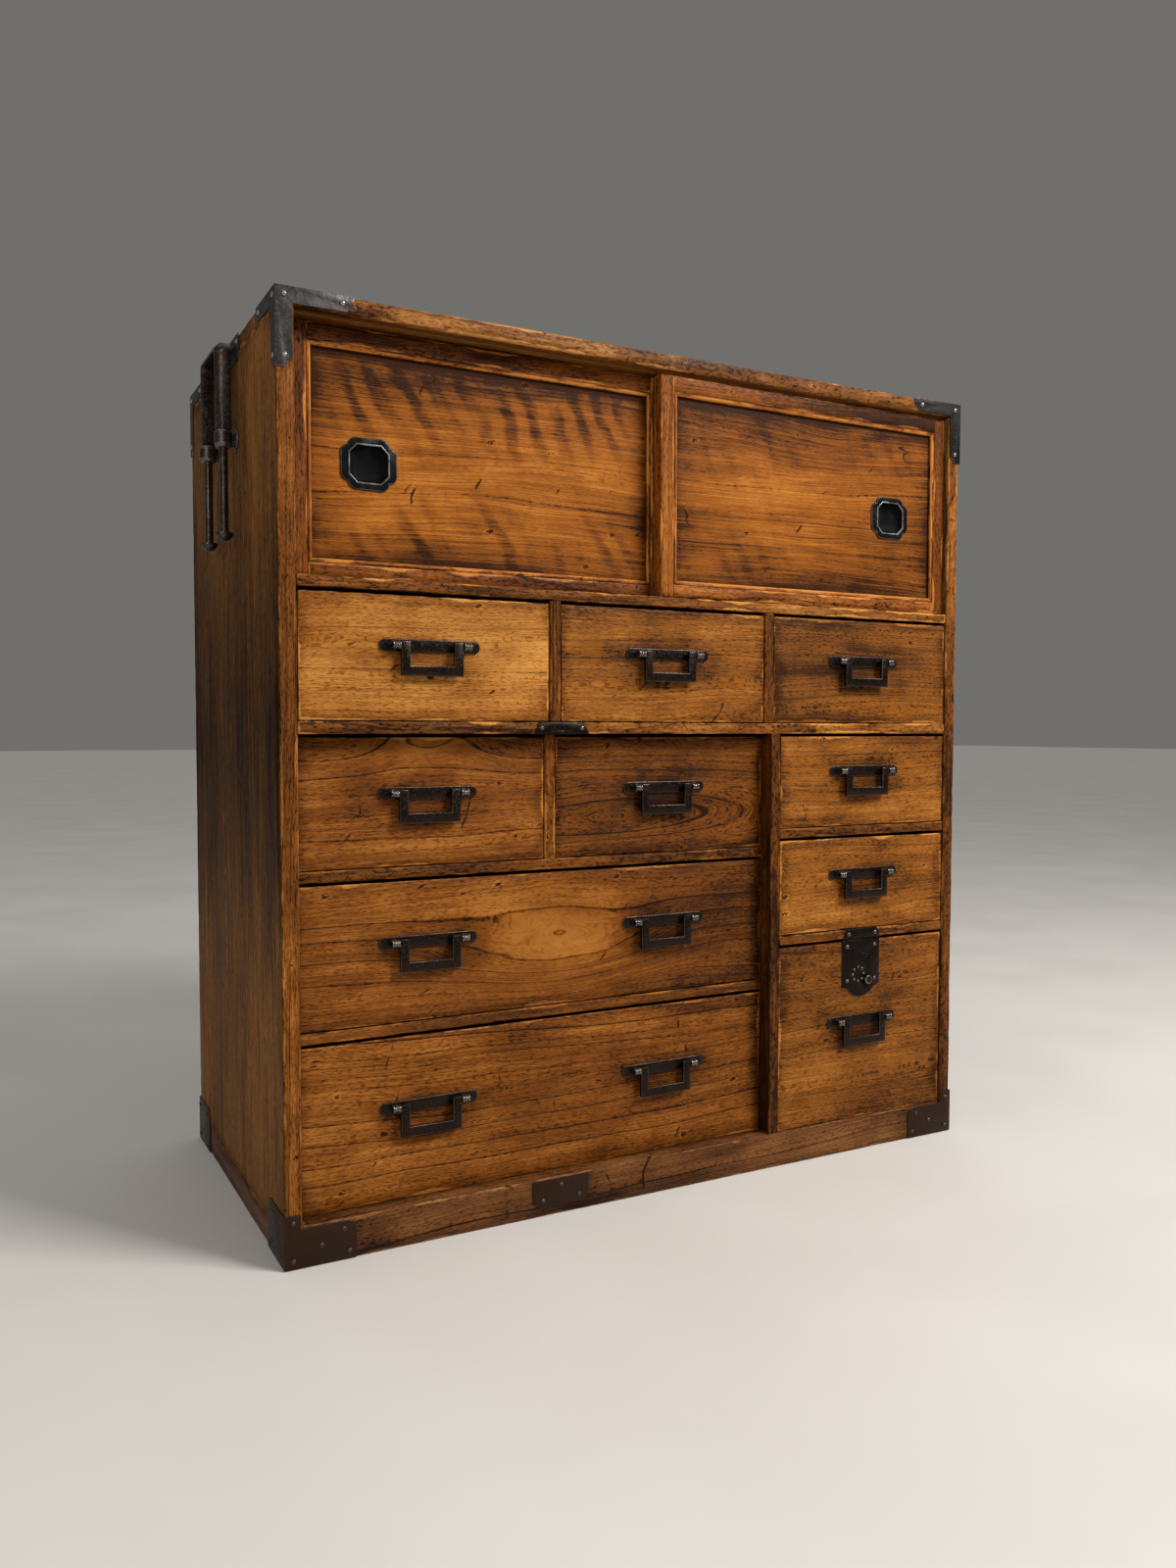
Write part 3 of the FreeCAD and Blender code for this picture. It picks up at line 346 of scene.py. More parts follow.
def select_all():
    bpy.ops.mesh.select_all(action="SELECT")


def shift_by(step):
    bpy.ops.transform.translate(value=step)


def extrude(step):
    bpy.ops.mesh.extrude_region_move(TRANSFORM_OT_translate={"value": step})


def turn_faces(inside=False):
    select_all()
    bpy.ops.mesh.normals_make_consistent(inside=inside)


def pick(obj, kind, test):
    """Select the points, edges or faces, in edit mode, that pass a test."""
    bpy.ops.mesh.select_mode(type={"verts": "VERT", "edges": "EDGE", "faces": "FACE"}[kind])
    bpy.ops.mesh.select_all(action="DESELECT")
    mesh = bmesh.from_edit_mesh(obj.data)
    for item in getattr(mesh, kind):
        if test(item):
            item.select_set(True)
    mesh.select_flush_mode()
    bmesh.update_edit_mesh(obj.data)


def runs_along(edge, axis):
    step = edge.verts[1].co - edge.verts[0].co
    return abs(step[axis]) > 0.999 * step.length


def finish_with(obj, kind, **settings):
    """Put a modifier on a piece and apply it."""
    make_active(obj)
    modifier = obj.modifiers.new(kind, kind)
    for name, value in settings.items():
        setattr(modifier, name, value)
    bpy.ops.object.modifier_apply(modifier=modifier.name)


def soften(obj, width, segments=2, angle=40, **more):
    """Round every arris that is sharper than an angle."""
    finish_with(
        obj, "BEVEL", width=width, segments=segments, limit_method="ANGLE",
        angle_limit=math.radians(angle), use_clamp_overlap=True, **more)


def smooth(obj, angle=40):
    make_active(obj)
    bpy.ops.object.shade_smooth_by_angle(angle=math.radians(angle))


def file_edges(obj, width, segments=2, angle=50, nail_facet=0.0):
    """Round the edges of an iron piece. Remember its rounded faces as half rubbed, and the faces smaller than
    a nail's facet, which are its nail heads, as fully rubbed."""
    obj.data.materials.clear()
    for index in range(2):
        obj.data.materials.append(None)
    soften(obj, width, segments, angle, material=1)
    faces = obj.data.polygons
    rubbed = obj.data.attributes.new("edge", "FLOAT", "FACE")
    rubbed.data.foreach_set(
        "value", [1.0 if face.area < nail_facet else 0.5 * face.material_index for face in faces])
    faces.foreach_set("material_index", [0] * len(faces))
    obj.data.materials.clear()
    smooth(obj)


def rub_all_over(obj):
    """Count every face of a filed piece as fully rubbed, which the iron finish paints with a glint and the
    lacquer with a highlight.
    """
    obj.data.attributes["edge"].data.foreach_set("value", [1.0] * len(obj.data.polygons))


def join(name, pieces):
    deselect()
    for piece in pieces:
        piece.select_set(True)
    bpy.context.view_layer.objects.active = pieces[0]
    if len(pieces) > 1:
        bpy.ops.object.join()
    pieces[0].name = name
    pieces[0].data.name = name
    return pieces[0]


def carve(obj, cutter):
    """Take a cutter's shape out of a piece."""
    finish_with(obj, "BOOLEAN", operation="DIFFERENCE", object=cutter, solver="EXACT")
    bpy.data.objects.remove(cutter)


def link(obj):
    bpy.context.scene.collection.objects.link(obj)


def moved_copy(obj, step):
    """A copy with its own mesh, shifted by a step."""
    copy = obj.copy()
    copy.data = obj.data.copy()
    link(copy)
    make_active(copy)
    copy.location = step
    bpy.ops.object.transform_apply(location=True, rotation=False, scale=False)
    return copy


def paint(obj, finish):
    obj.data.materials.clear()
    obj.data.materials.append(finish)


def paint_part(obj, finish, test):
    """Give a second finish to the faces whose middle passes a test."""
    obj.data.materials.append(finish)
    for face in obj.data.polygons:
        if test(face.center):
            face.material_index = 1


def hand_over(obj, finish, body, slot, *nodes):
    """Give a finished piece its finish and its body, and hide the frame nodes that it stands for."""
    if finish:
        paint(obj, finish)
    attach(obj, body)
    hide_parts(*nodes)
    return obj


# Worn boards

def noise_pattern(name, size, start, end):
    """Cloudy noise that climbs from nothing to full between two of its levels."""
    pattern = bpy.data.textures.new(name, "CLOUDS")
    pattern.noise_scale = size
    pattern.noise_depth = 2
    pattern.use_color_ramp = True
    pattern.color_ramp.elements[0].position = start
    pattern.color_ramp.elements[1].position = end
    return pattern


RUBBED = noise_pattern("rubbed arris", 0.075, 0.25, 0.75)
CHIPPED = noise_pattern("chipped arris", 0.014, 0.3, 0.42)


def arris_depths(point, low, high):
    """Distances from a point to its board's faces, least first."""
    return sorted(min(point[a] - low[a], high[a] - point[a]) for a in range(3))


def wear_arrises(obj, low, high, arris, chip):
    """Rub the arrises of a board down unevenly and knock small chips out of them."""
    group = obj.vertex_groups.new(name="arris")
    for vertex in obj.data.vertices:
        depth = arris_depths(vertex.co, low, high)[1]
        if depth < 1.05 * arris:
            group.add([vertex.index], max(0.25, 1.1 - depth / arris), "REPLACE")
    for pattern, share in ((RUBBED, 0.6), (CHIPPED, 1.0)):
        finish_with(
            obj, "DISPLACE", texture=pattern, texture_coords="LOCAL", direction="NORMAL",
            vertex_group="arris", mid_level=1.0, strength=share * chip)
    obj.vertex_groups.clear()


def store(obj, name, kind, values):
    """Keep one number or vector for each point, for the finishes to read."""
    attribute = obj.data.attributes.new(name, kind, "POINT")
    key = "value" if kind == "FLOAT" else "vector"
    flat = values if kind == "FLOAT" else [number for value in values for number in value]
    attribute.data.foreach_set(key, flat)


def chance_pith(lot):
    """A log's heart well to one side of a board and a little behind it."""
    away = lot.choice((-1, 1)) * lot.uniform(0.12, 0.3)
    return lot.uniform(-0.05, 0.05), away, lot.uniform(0.03, 0.09)


def set_grain(obj, low, high, grain, name, pith=None, knot=NO_KNOT, shade=0.0, irons=()):
    """Store each point's place in its board, grain first, how the board was cut, and the irons near by."""
    size = high - low
    wide, thin = sorted((axis for axis in range(3) if axis != grain), key=lambda axis: -size[axis])
    order = (grain, wide, thin)
    lot = random.Random(name)
    middle = (low + high) / 2
    half = [size[axis] / 2 for axis in order]
    pith = pith or chance_pith(lot)
    places = [[vertex.co[axis] - middle[axis] for axis in order] for vertex in obj.data.vertices]
    count = len(places)
    store(obj, "place", "FLOAT_VECTOR", places)
    store(obj, "half", "FLOAT_VECTOR", [half] * count)
    store(obj, "pith", "FLOAT_VECTOR", [pith] * count)
    store(obj, "lot", "FLOAT", [lot.uniform(0, 20)] * count)
    store(obj, "shade", "FLOAT", [shade + lot.uniform(-0.03, 0.03)] * count)
    radius = math.hypot(knot[1] - pith[1], pith[2] + pith[0] * knot[0])
    swirl = [((p[0] - knot[0]) / knot[2], (p[1] - knot[1]) / knot[3], radius) for p in places]
    store(obj, "knot", "FLOAT_VECTOR", swirl)
    stain = []
    for vertex in obj.data.vertices:
        near = [(abs(vertex.co.x - x), abs(vertex.co.z - z), vertex.co.y - low.y) for x, z in irons]
        stain.append(min(near, default=NO_IRON))
    store(obj, "irons", "FLOAT_VECTOR", stain)


def lighten(obj, amount_at):
    """Raise the tone of a board by an amount that depends on the place, for its own tone and for painted
    light and shade.
    """
    shades = obj.data.attributes["shade"].data
    for vertex in obj.data.vertices:
        shades[vertex.index].value += amount_at(vertex.co)


def ramp(value, start, end):
    return min(1.0, max(0.0, (value - start) / (end - start)))


def bell(value, middle, width):
    return math.exp(-((value - middle) / width) ** 2)


def side_fading(place):
    """Sides are paler along their front edge. Towards floor and top they are paler with painted bounce light
    and sheen, and half way up darkest with painted shade. The right one's front edge is darker in its lower
    half."""
    if place.y < FRONT_Y + SIDE_EDGE:
        return 0.06 - (0.26 * ramp(place.z, 0.65, 0.4) if place.x > 0 else 0.0)
    ends = 0.22 * ramp(place.z, 0.4, 0.05) + 0.12 * ramp(place.z, 0.65, 0.9)
    return ends - 0.16 * bell(place.z, 0.52, 0.17)


def paint_gap_shade(obj, face_y, arris):
    """Darken the wood behind the rounded front arris, as painted shade in the gaps between the parts."""
    lighten(obj, lambda place: GAP_PAINTED_SHADE if place.y > face_y + 0.95 * arris else 0.0)


def set_figure(obj, low, high, amount):
    """Curl a panel's figure most in its upper part, less in its foot and hardly in its middle and ends."""
    strengths = []
    for vertex in obj.data.vertices:
        across = (vertex.co.x - low.x) / (high.x - low.x)
        up = (vertex.co.z - low.z) / (high.z - low.z)
        ends = min(1.0, 8 * min(across, 1 - across))
        strengths.append(amount * ends * max(0.15, bell(up, 0.78, 0.2), 0.8 * bell(up, 0.18, 0.16)))
    store(obj, "figure", "FLOAT", strengths)


def board(name, x, y, z, grain, arris=ARRIS, chip=CHIP, step=CUT_STEP, **cut):
    """A worn board that fills a range along each axis, with its grain along one of them."""
    obj = block(x, y, z)
    low, high = corners(x, y, z)
    size = high - low
    edit(obj)
    for axis in sorted(range(3), key=lambda axis: -size[axis])[:2]:
        cuts = int(size[axis] / step)
        if cuts:
            pick(obj, "edges", lambda edge: runs_along(edge, axis))
            bpy.ops.mesh.subdivide(number_cuts=cuts)
    leave_edit()
    soften(obj, arris, segments=3)
    wear_arrises(obj, low, high, arris, chip)
    set_grain(obj, low, high, grain, name, **cut)
    smooth(obj)
    obj.name = name
    return obj


# Finishes

# Noise in a board, in waves per metre along its grain, across it and through it
SWAY = (1.6, 6.0, 6.0)
RIPPLE = (8.0, 40.0, 40.0)
PORES = (150.0, 1000.0, 1000.0)
FIBRES = (10.0, 520.0, 520.0)
BROAD_FIBRES = (5.0, 70.0, 70.0)
CLOUDS = (3.0, 9.0, 9.0)
PATCHES = (18.0, 34.0, 34.0)
TORN_RIMS = (260.0, 420.0, 420.0)
PITS = (26.0, 44.0, 44.0)
SCRATCHES = (30.0, 170.0, 60.0)
BAND_BEND = (9.0, 14.0, 14.0)
BAND_REACH = (24.0, 11.0, 11.0)
SEASONS = 45.0

# How fast a stain fades from an iron, and the painted shadow under a corner strap, along X, along Z and
# behind the face
STAIN_AND_SHADE_FADE = (13.0, 32.0, 30.0)

# Noise on iron, lacquer and the studio's floor, in waves per metre
IRON_BLOOM = (55.0, 55.0, 55.0)
IRON_SKIN = (380.0, 380.0, 380.0)
HAMMER_MARKS = (95.0, 95.0, 95.0)
LACQUER_DUST = (90.0, 90.0, 90.0)
LACQUER_SKIN = (500.0, 500.0, 500.0)
FLOOR_MOTTLE = (3.0, 3.0, 3.0)
FLOOR_SKIN = (160.0, 160.0, 160.0)

IRON_METALLIC = 0.85
IRON_SHINE = 0.3
FLOOR_SHINE = 0.5
STRAP_PAINTED_SHADE = (0.012, 0.0105, 0.01)
POLISHED_IRON_GLINT = (0.5, 0.47, 0.45)
LACQUER_COLOURS = ((0.003, 0.003, 0.0032), (0.008, 0.008, 0.0085))
RUBBED_AND_HIGHLIT_LACQUER = (0.2, 0.2, 0.204)


def plug(socket, value):
    """Feed a socket from another one or set it. A colour is three numbers."""
    if isinstance(value, bpy.types.NodeSocket):
        socket.id_data.links.new(value, socket)
    elif socket.type == "RGBA":
        socket.default_value = (*value, 1.0)
    else:
        socket.default_value = value


def add(tree, kind, settings=(), **inputs):
    node = tree.nodes.new("ShaderNode" + kind)
    for name, value in dict(settings).items():
        setattr(node, name, value)
    for name, value in inputs.items():
        plug(node.inputs[name.replace("_", " ")], value)
    return node


def operate(kind, operation, values):
    tree = next(value.id_data for value in values if isinstance(value, bpy.types.NodeSocket))
    node = add(tree, kind, {"operation": operation})
    for socket, value in zip(node.inputs, values):
        plug(socket, value)
    return node.outputs


def calc(operation, *values):
    return operate("Math", operation, values)[0]


def times(first, second):
    return calc("MULTIPLY", first, second)


def vector(operation, *values):
    return operate("VectorMath", operation, values)["Value" if operation == "LENGTH" else "Vector"]


def mix_in(total, value, amount, middle=0.0):
    """Add a share of a value, measured from its middle, to a running total."""
    if middle:
        value = calc("SUBTRACT", value, middle)
    return calc("MULTIPLY_ADD", value, amount, total)


def sum_of_squares(first, second):
    return calc("ADD", times(first, first), times(second, second))


def grade(value, start, end, low=0.0, high=1.0):
    """A value carried smoothly from one range into another."""
    node = add(
        value.id_data, "MapRange", {"interpolation_type": "SMOOTHSTEP"}, Value=value,
        From_Min=start, From_Max=end, To_Min=low, To_Max=high)
    return node.outputs[0]


def blend(factor, first, second):
    """A colour between two others."""
    node = add(factor.id_data, "Mix", {"data_type": "RGBA"})
    for index, value in ((0, factor), (6, first), (7, second)):
        plug(node.inputs[index], value)
    return node.outputs[2]


def speckle(place, scale, detail=2.0, rough=0.5):
    """Cloudy noise with so many waves per metre in each direction."""
    stretched = vector("MULTIPLY", place, scale)
    node = add(place.id_data, "TexNoise", Vector=stretched, Scale=1.0, Detail=detail, Roughness=rough)
    return node.outputs[0]


def cells(place):
    """Distances to scattered points, and a number by chance for each point."""
    node = add(place.id_data, "TexVoronoi", Vector=place, Scale=1.0)
    return node.outputs["Distance"], split(node.outputs["Color"])[0]


def attribute(tree, name, output="Vector"):
    return add(tree, "Attribute", {"attribute_name": name}).outputs[output]


def object_place(tree):
    return add(tree, "TexCoord").outputs["Object"]


def split(value):
    return add(value.id_data, "SeparateXYZ", Vector=value).outputs


def new_finish(name):
    finish = bpy.data.materials.new(name)
    finish.use_nodes = True
    tree = finish.node_tree
    return finish, tree, tree.nodes["Principled BSDF"]


def coat(shader, base, gloss, height, strength, depth, shine):
    """Give a finish its colour, its roughness, its relief and its shine."""
    plug(shader.inputs["Base Color"], base)
    plug(shader.inputs["Roughness"], gloss)
    bump = add(shader.id_data, "Bump", Strength=strength, Distance=depth, Height=height)
    plug(shader.inputs["Normal"], bump.outputs[0])
    shader.inputs["Specular IOR Level"].default_value = shine


def tone_scale(value, deep, mid, light):
    """Carry a tone from 0 to 1 through a deep, a middle and a light colour."""
    node = add(value.id_data, "ValToRGB", Fac=value)
    stops = node.color_ramp.elements
    stops[0].color = (*deep, 1.0)
    stops[1].color = (*light, 1.0)
    stops.new(0.5).color = (*mid, 1.0)
    return node.outputs[0]


def edge_distance(place, half):
    """How far a point lies from the nearest arris of its board: the middle one of its three depths."""
    depth = split(vector("SUBTRACT", half, vector("ABSOLUTE", place)))

    def over_all(operation):
        return calc(operation, calc(operation, depth[0], depth[1]), depth[2])

    least, most, total = over_all("MINIMUM"), over_all("MAXIMUM"), over_all("ADD")
    return calc("SUBTRACT", calc("SUBTRACT", total, least), most)


def growth_rings(tree, place, spread, gap):
    """Distance from the log's heart, the rings there, a strength for each ring, and the reach of a knot."""
    pith = split(attribute(tree, "pith"))
    along = split(place)
    sway = speckle(spread, SWAY)
    ripple = speckle(spread, RIPPLE)
    across = mix_in(calc("SUBTRACT", along[1], pith[1]), sway, 0.06, 0.5)
    deep = calc("ADD", calc("MULTIPLY_ADD", pith[0], along[0], pith[2]), along[2])
    radius = calc("SQRT", sum_of_squares(across, deep))
    swirl = split(attribute(tree, "knot"))
    away = sum_of_squares(swirl[0], swirl[1])
    pull = calc("EXPONENT", times(away, -1.0))
    loops = mix_in(swirl[2], calc("SQRT", away), 0.045)
    radius = mix_in(radius, calc("SUBTRACT", loops, radius), pull)
    radius = mix_in(radius, ripple, mix_in(0.007, pull, 0.013))
    season = add(tree, "TexNoise", {"noise_dimensions": "1D"}, W=times(radius, SEASONS), Scale=1.0)
    radius = mix_in(radius, season.outputs[0], 0.014)
    count = calc("DIVIDE", radius, gap)
    chance = add(tree, "TexWhiteNoise", {"noise_dimensions": "1D"}, W=calc("FLOOR", count))
    return radius, calc("FRACT", count), chance.outputs[0], pull


def grain_marks(tree, spread, radius, tooth, strength, pull):
    """Fibres, broad fibres and pores, which follow the rings and rest in knots, and a ring's dark line."""
    along = split(spread)
    grain = add(tree, "CombineXYZ", X=along[0], Y=radius, Z=times(along[2], 0.3)).outputs[0]
    calm = mix_in(1.0, pull, -0.75)
    pores = times(grade(speckle(grain, PORES, rough=0.6), 0.48, 0.64), calm)
    line = times(grade(tooth, 0.8, 0.94), grade(tooth, 1.0, 0.97))
    line = times(line, mix_in(0.08, calc("POWER", strength, 3.0), 0.92))
    line = times(line, mix_in(0.4, pores, 0.6))
    fibre = mix_in(0.5, speckle(grain, FIBRES, 3.0, 0.7), calm, 0.5)
    return fibre, speckle(grain, BROAD_FIBRES), pores, line


def knocks(tree, place, spread, shift, cloud):
    """The bruised rims of torn dents, and the dents and scratches themselves."""
    torn = times(speckle(spread, TORN_RIMS, 1.0), 0.35)
    far, chance = cells(vector("ADD", vector("MULTIPLY", spread, PITS), torn))
    chosen = grade(chance, 0.73, 0.8)
    bruise = times(grade(far, 0.24, 0.12), chosen)
    dent = times(grade(far, 0.12, 0.04), chosen)
    turn = times(cloud, 4.0)
    slash = add(tree, "VectorRotate", {"rotation_type": "Z_AXIS"}, Vector=place, Angle=turn)
    slash = vector("ADD", slash.outputs[0], shift)
    far, chance = cells(vector("MULTIPLY", slash, SCRATCHES))
    scratch = times(grade(far, 0.3, 0.1), grade(chance, 0.95, 0.975, 0.0, 0.5))
    return bruise, calc("MAXIMUM", dent, scratch)


def tiger_bands(tree, place, fibre):
    """Soft slanting bands of a curly figure, its shimmer painted as fixed darker colour, as strong as the
    panel is figured there and frayed by fibres.
    """
    slant = add(tree, "Mapping", Vector=place, Rotation=(0, 0, -0.42)).outputs[0]
    bend = speckle(place, BAND_BEND)
    wave = mix_in(times(bend, 9.0), split(slant)[0], 210.0)
    wave = grade(calc("SINE", wave), -0.7, 1.0)
    reach = grade(speckle(slant, BAND_REACH), 0.36, 0.64)
    strength = times(attribute(tree, "figure", "Fac"), mix_in(0.2, fibre, 1.6))
    return times(times(wave, reach), strength)


def wood(name, deep, mid, light, gap=0.011, rings=1.1, streaks=0.65, figured=False, worn=0.45, soil_and_shade=0.16,
         rough=0.42, shine=0.08, pore=0.26):
    """Old polished hardwood: rings of pores, fibres, dents, corners darkened by soil and painted shade, and
    rubbed arrises lightened partly as painted highlight.
    Gap is the distance between rings. Rings, streaks, worn, the darkening near arrises and pore say how
    strongly each shows."""
    finish, tree, shader = new_finish(name)
    place = attribute(tree, "place")
    lot = attribute(tree, "lot", "Fac")
    shift = add(tree, "CombineXYZ", X=lot, Y=times(lot, 0.7), Z=times(lot, 1.9)).outputs[0]
    spread = vector("ADD", place, shift)
    cloud = speckle(spread, CLOUDS, 3.0)
    patch = speckle(spread, PATCHES, 3.0)
    radius, tooth, strength, pull = growth_rings(tree, place, spread, gap)
    fibre, broad, pores, line = grain_marks(tree, spread, radius, tooth, strength, pull)

    tone = calc("ADD", attribute(tree, "shade", "Fac"), 0.56)
    for mark, amount, middle in (
        (line, -rings, 0.0), (fibre, -streaks, 0.5), (broad, -0.3, 0.5),
        (times(tooth, strength), -0.1, 0.0), (pores, -pore, 0.0),
        (cloud, 0.7, 0.5), (patch, 0.35, 0.5), (pull, 0.32, 0.0),
    ):
        tone = mix_in(tone, mark, amount, middle)
    if figured:
        tone = mix_in(tone, tiger_bands(tree, spread, fibre), -1.0)

    # Darker near every arris, with soil and painted shade in the corners
    edge = edge_distance(place, attribute(tree, "half"))
    drift = mix_in(edge, cloud, 0.05, 0.5)
    soil_and_shade_mask = grade(mix_in(drift, patch, 0.02, 0.5), 0.018, 0.0)
    # Stains round the irons, and on the top board painted shadow under the corner straps
    iron_stain_and_shade = vector("LENGTH", vector("MULTIPLY", attribute(tree, "irons"), STAIN_AND_SHADE_FADE))
    iron_stain_and_shade = grade(mix_in(iron_stain_and_shade, patch, 1.4), 2.0, 0.9)
    # Paler rubbed arrises, which also stand in as painted highlights along the edges; worn sets how strong
    rubbed_and_highlit = grade(mix_in(edge, patch, 0.018, 0.46), 0.0026, 0.0004)
    bruise, dent = knocks(tree, place, spread, shift, cloud)
    # Soil and painted shade near arrises, iron stains and painted shadow, rubbed arrises and painted
    # highlights, bruises and dents
    for mark, amount in ((soil_and_shade_mask, -soil_and_shade), (iron_stain_and_shade, -0.25), (rubbed_and_highlit, worn), (bruise, 0.1), (dent, -1.3)):
        tone = mix_in(tone, mark, amount)
    tone = calc("MULTIPLY_ADD", tone, 1.16, -0.075)

    gloss = mix_in(rough - 0.12, patch, 0.24)
    height = times(fibre, -0.5)
    for mark, amount in ((pores, -0.5), (line, -0.25), (dent, -1.8)):
        height = mix_in(height, mark, amount)
    base = tone_scale(tone, deep, mid, light)
    coat(shader, base, mix_in(gloss, soil_and_shade_mask, 0.12), height, strength=0.5, depth=0.7 * MM, shine=shine)
    return finish


def iron(name, dark, brown, bright, rough=0.36, bloomed=1.0, damp=0.0, scale=None, nails=0.3):
    """Blackened wrought iron: brown bloom, more of it below the damp line, pits, brighter rubbed edges and
    polished nail heads and eyes with a painted glint.
    Scale holds the places along X between which the upper irons darken into a painted shade towards the
    right."""
    finish, tree, shader = new_finish(name)
    place = object_place(tree)
    bloom = speckle(place, IRON_BLOOM, 4.0, 0.6)
    fine = speckle(place, IRON_SKIN, 3.0, 0.6)
    hammer = speckle(place, HAMMER_MARKS)
    base = blend(grade(fine, 0.5, 0.8, 0.0, 0.3), dark, bright)
    rust = grade(bloom, 0.42, 0.68, 0.0, bloomed)
    rubbed = attribute(tree, "edge", "Fac")
    if damp:
        wet = grade(split(place)[2], damp, damp - 0.06)
        rust = calc("MAXIMUM", rust, wet)
        rubbed = times(rubbed, mix_in(1.0, wet, -0.75))
    base = blend(rust, base, brown)
    # Painted shade: the upper irons go near black towards the right, where they catch less reflected light
    if scale:
        black = grade(split(place)[0], *scale, 0.0, 0.85)
        black = times(black, grade(split(place)[2], 0.3, 0.7))
        base = blend(black, base, STRAP_PAINTED_SHADE)
    edge = times(rubbed, grade(bloom, 0.3, 0.6, 0.35, 0.9))
    base = blend(edge, base, bright)
    # Painted glint: fully rubbed faces, the nail heads and post eyes, take a near-white colour; nails sets
    # how much
    polish_and_glint = grade(rubbed, 0.85, 1.0)
    base = blend(times(polish_and_glint, nails), base, POLISHED_IRON_GLINT)
    gloss = mix_in(grade(fine, 0.3, 0.75, rough - 0.1, rough + 0.15), polish_and_glint, -0.22)
    height = mix_in(times(hammer, 1.6), fine, 0.4)
    height = mix_in(height, grade(fine, 0.62, 0.7), -0.5)
    coat(shader, base, gloss, height, strength=0.4, depth=0.8 * MM, shine=IRON_SHINE)
    shader.inputs["Metallic"].default_value = IRON_METALLIC
    return finish


def lacquer(name, low, high, shine):
    """Black pull lacquer between two roughnesses, dusty in places and rubbed at its rims, which are also
    painted as highlights.
    """
    finish, tree, shader = new_finish(name)
    place = object_place(tree)
    dust = speckle(place, LACQUER_DUST, 3.0)
    base = blend(grade(dust, 0.45, 0.75), *LACQUER_COLOURS)
    # Rims and bead paler, worn and painted as highlights
    rim = times(attribute(tree, "edge", "Fac"), grade(dust, 0.35, 0.65, 0.25, 0.95))
    base = blend(rim, base, RUBBED_AND_HIGHLIT_LACQUER)
    gloss = grade(dust, 0.3, 0.75, low, high)
    skin = speckle(place, LACQUER_SKIN)
    coat(shader, base, gloss, skin, strength=0.15, depth=0.5 * MM, shine=shine)
    return finish


CASE_WOOD = wood(
    "case wood", (0.012, 0.005, 0.0014), (0.113, 0.047, 0.013), (0.3, 0.13, 0.034),
    gap=6 * MM, streaks=1.2, worn=0.5, shine=0.01)
TOP_WOOD = wood(
    "top wood", (0.02, 0.006, 0.001), (0.19, 0.066, 0.011), (0.45, 0.2, 0.05),
    gap=4.5 * MM, rings=0.8, streaks=0.9)
FRAME_WOOD = wood(
    "frame wood", (0.02, 0.006, 0.001), (0.2, 0.064, 0.008), (0.5, 0.215, 0.045),
    gap=4.5 * MM, rings=0.8, streaks=0.9, worn=0.6)
DIVIDER_WOOD = wood(
    "divider wood", (0.02, 0.006, 0.001), (0.185, 0.056, 0.0065), (0.46, 0.185, 0.035),
    gap=4.5 * MM, rings=0.8, streaks=0.8, worn=0.35)
ROW_WOOD = wood(
    "row drawer wood", (0.03, 0.0085, 0.001), (0.24, 0.078, 0.0085), (0.56, 0.25, 0.05),
    gap=7.5 * MM, rings=0.75)
BAY_WOOD = wood(
    "bay drawer wood", (0.018, 0.005, 0.0008), (0.18, 0.053, 0.0055), (0.46, 0.185, 0.032),
    gap=10.5 * MM, rings=1.0)
DOOR_FRAME_WOOD = wood(
    "door frame wood", (0.022, 0.006, 0.001), (0.21, 0.058, 0.0065), (0.46, 0.17, 0.03),
    gap=5 * MM, rings=0.6, streaks=0.7, worn=0.6)
PANEL_WOOD = wood(
    "door panel wood", (0.03, 0.008, 0.001), (0.255, 0.074, 0.006), (0.5, 0.19, 0.028),
    gap=5.5 * MM, rings=0.5, streaks=0.95, figured=True, worn=0.0, soil_and_shade=0.1, shine=0.06, pore=0.12)
BASE_WOOD = wood(
    "base wood", (0.012, 0.005, 0.002), (0.12, 0.042, 0.011), (0.28, 0.125, 0.04), gap=7 * MM, streaks=0.7)
INNER_WOOD = wood(
    "inner wood", (0.12, 0.07, 0.03), (0.42, 0.28, 0.14), (0.58, 0.43, 0.26),
    gap=8 * MM, rings=0.35, rough=0.65)
# The strap iron's right-hand straps are darkened as painted shade
STRAP_IRON = iron(
    "strap iron", (0.042, 0.042, 0.043), (0.036, 0.019, 0.0115), (0.2, 0.19, 0.185),
    rough=0.48, bloomed=0.5, damp=0.85, scale=(-0.2, 0.25))
HANDLE_IRON = iron(
    "handle iron", (0.014, 0.0095, 0.0075), (0.023, 0.012, 0.007), (0.11, 0.086, 0.072),
    rough=0.34, nails=0.12)
LOCK_IRON = iron(
    "lock iron", (0.008, 0.005, 0.0036), (0.015, 0.0075, 0.0042), (0.09, 0.072, 0.06), rough=0.4, nails=0.1)
FORGED_IRON = iron(
    "forged iron", (0.062, 0.053, 0.049), (0.05, 0.031, 0.023), (0.27, 0.25, 0.235), rough=0.3)
LACQUER = lacquer("black lacquer", 0.12, 0.25, 0.35)
DULL_LACQUER = lacquer("dull black lacquer", 0.5, 0.7, 0.03)


# Case

def groove(door, low_z, high_z):
    """The space of one door's groove between two heights."""
    return block(INNER_X, around(sum(limits(door)[Y]) / 2, TONGUE + 2 * RUN_GAP), (low_z, high_z))


def make_case():
    make_sides()
    make_top_and_shelves()
    hand_over(board("bottom_board_worn", *BOTTOM, X), INNER_WOOD, "chest", "inner_wood", "bottom_board")
    make_dividers()
    make_back()
    make_base()


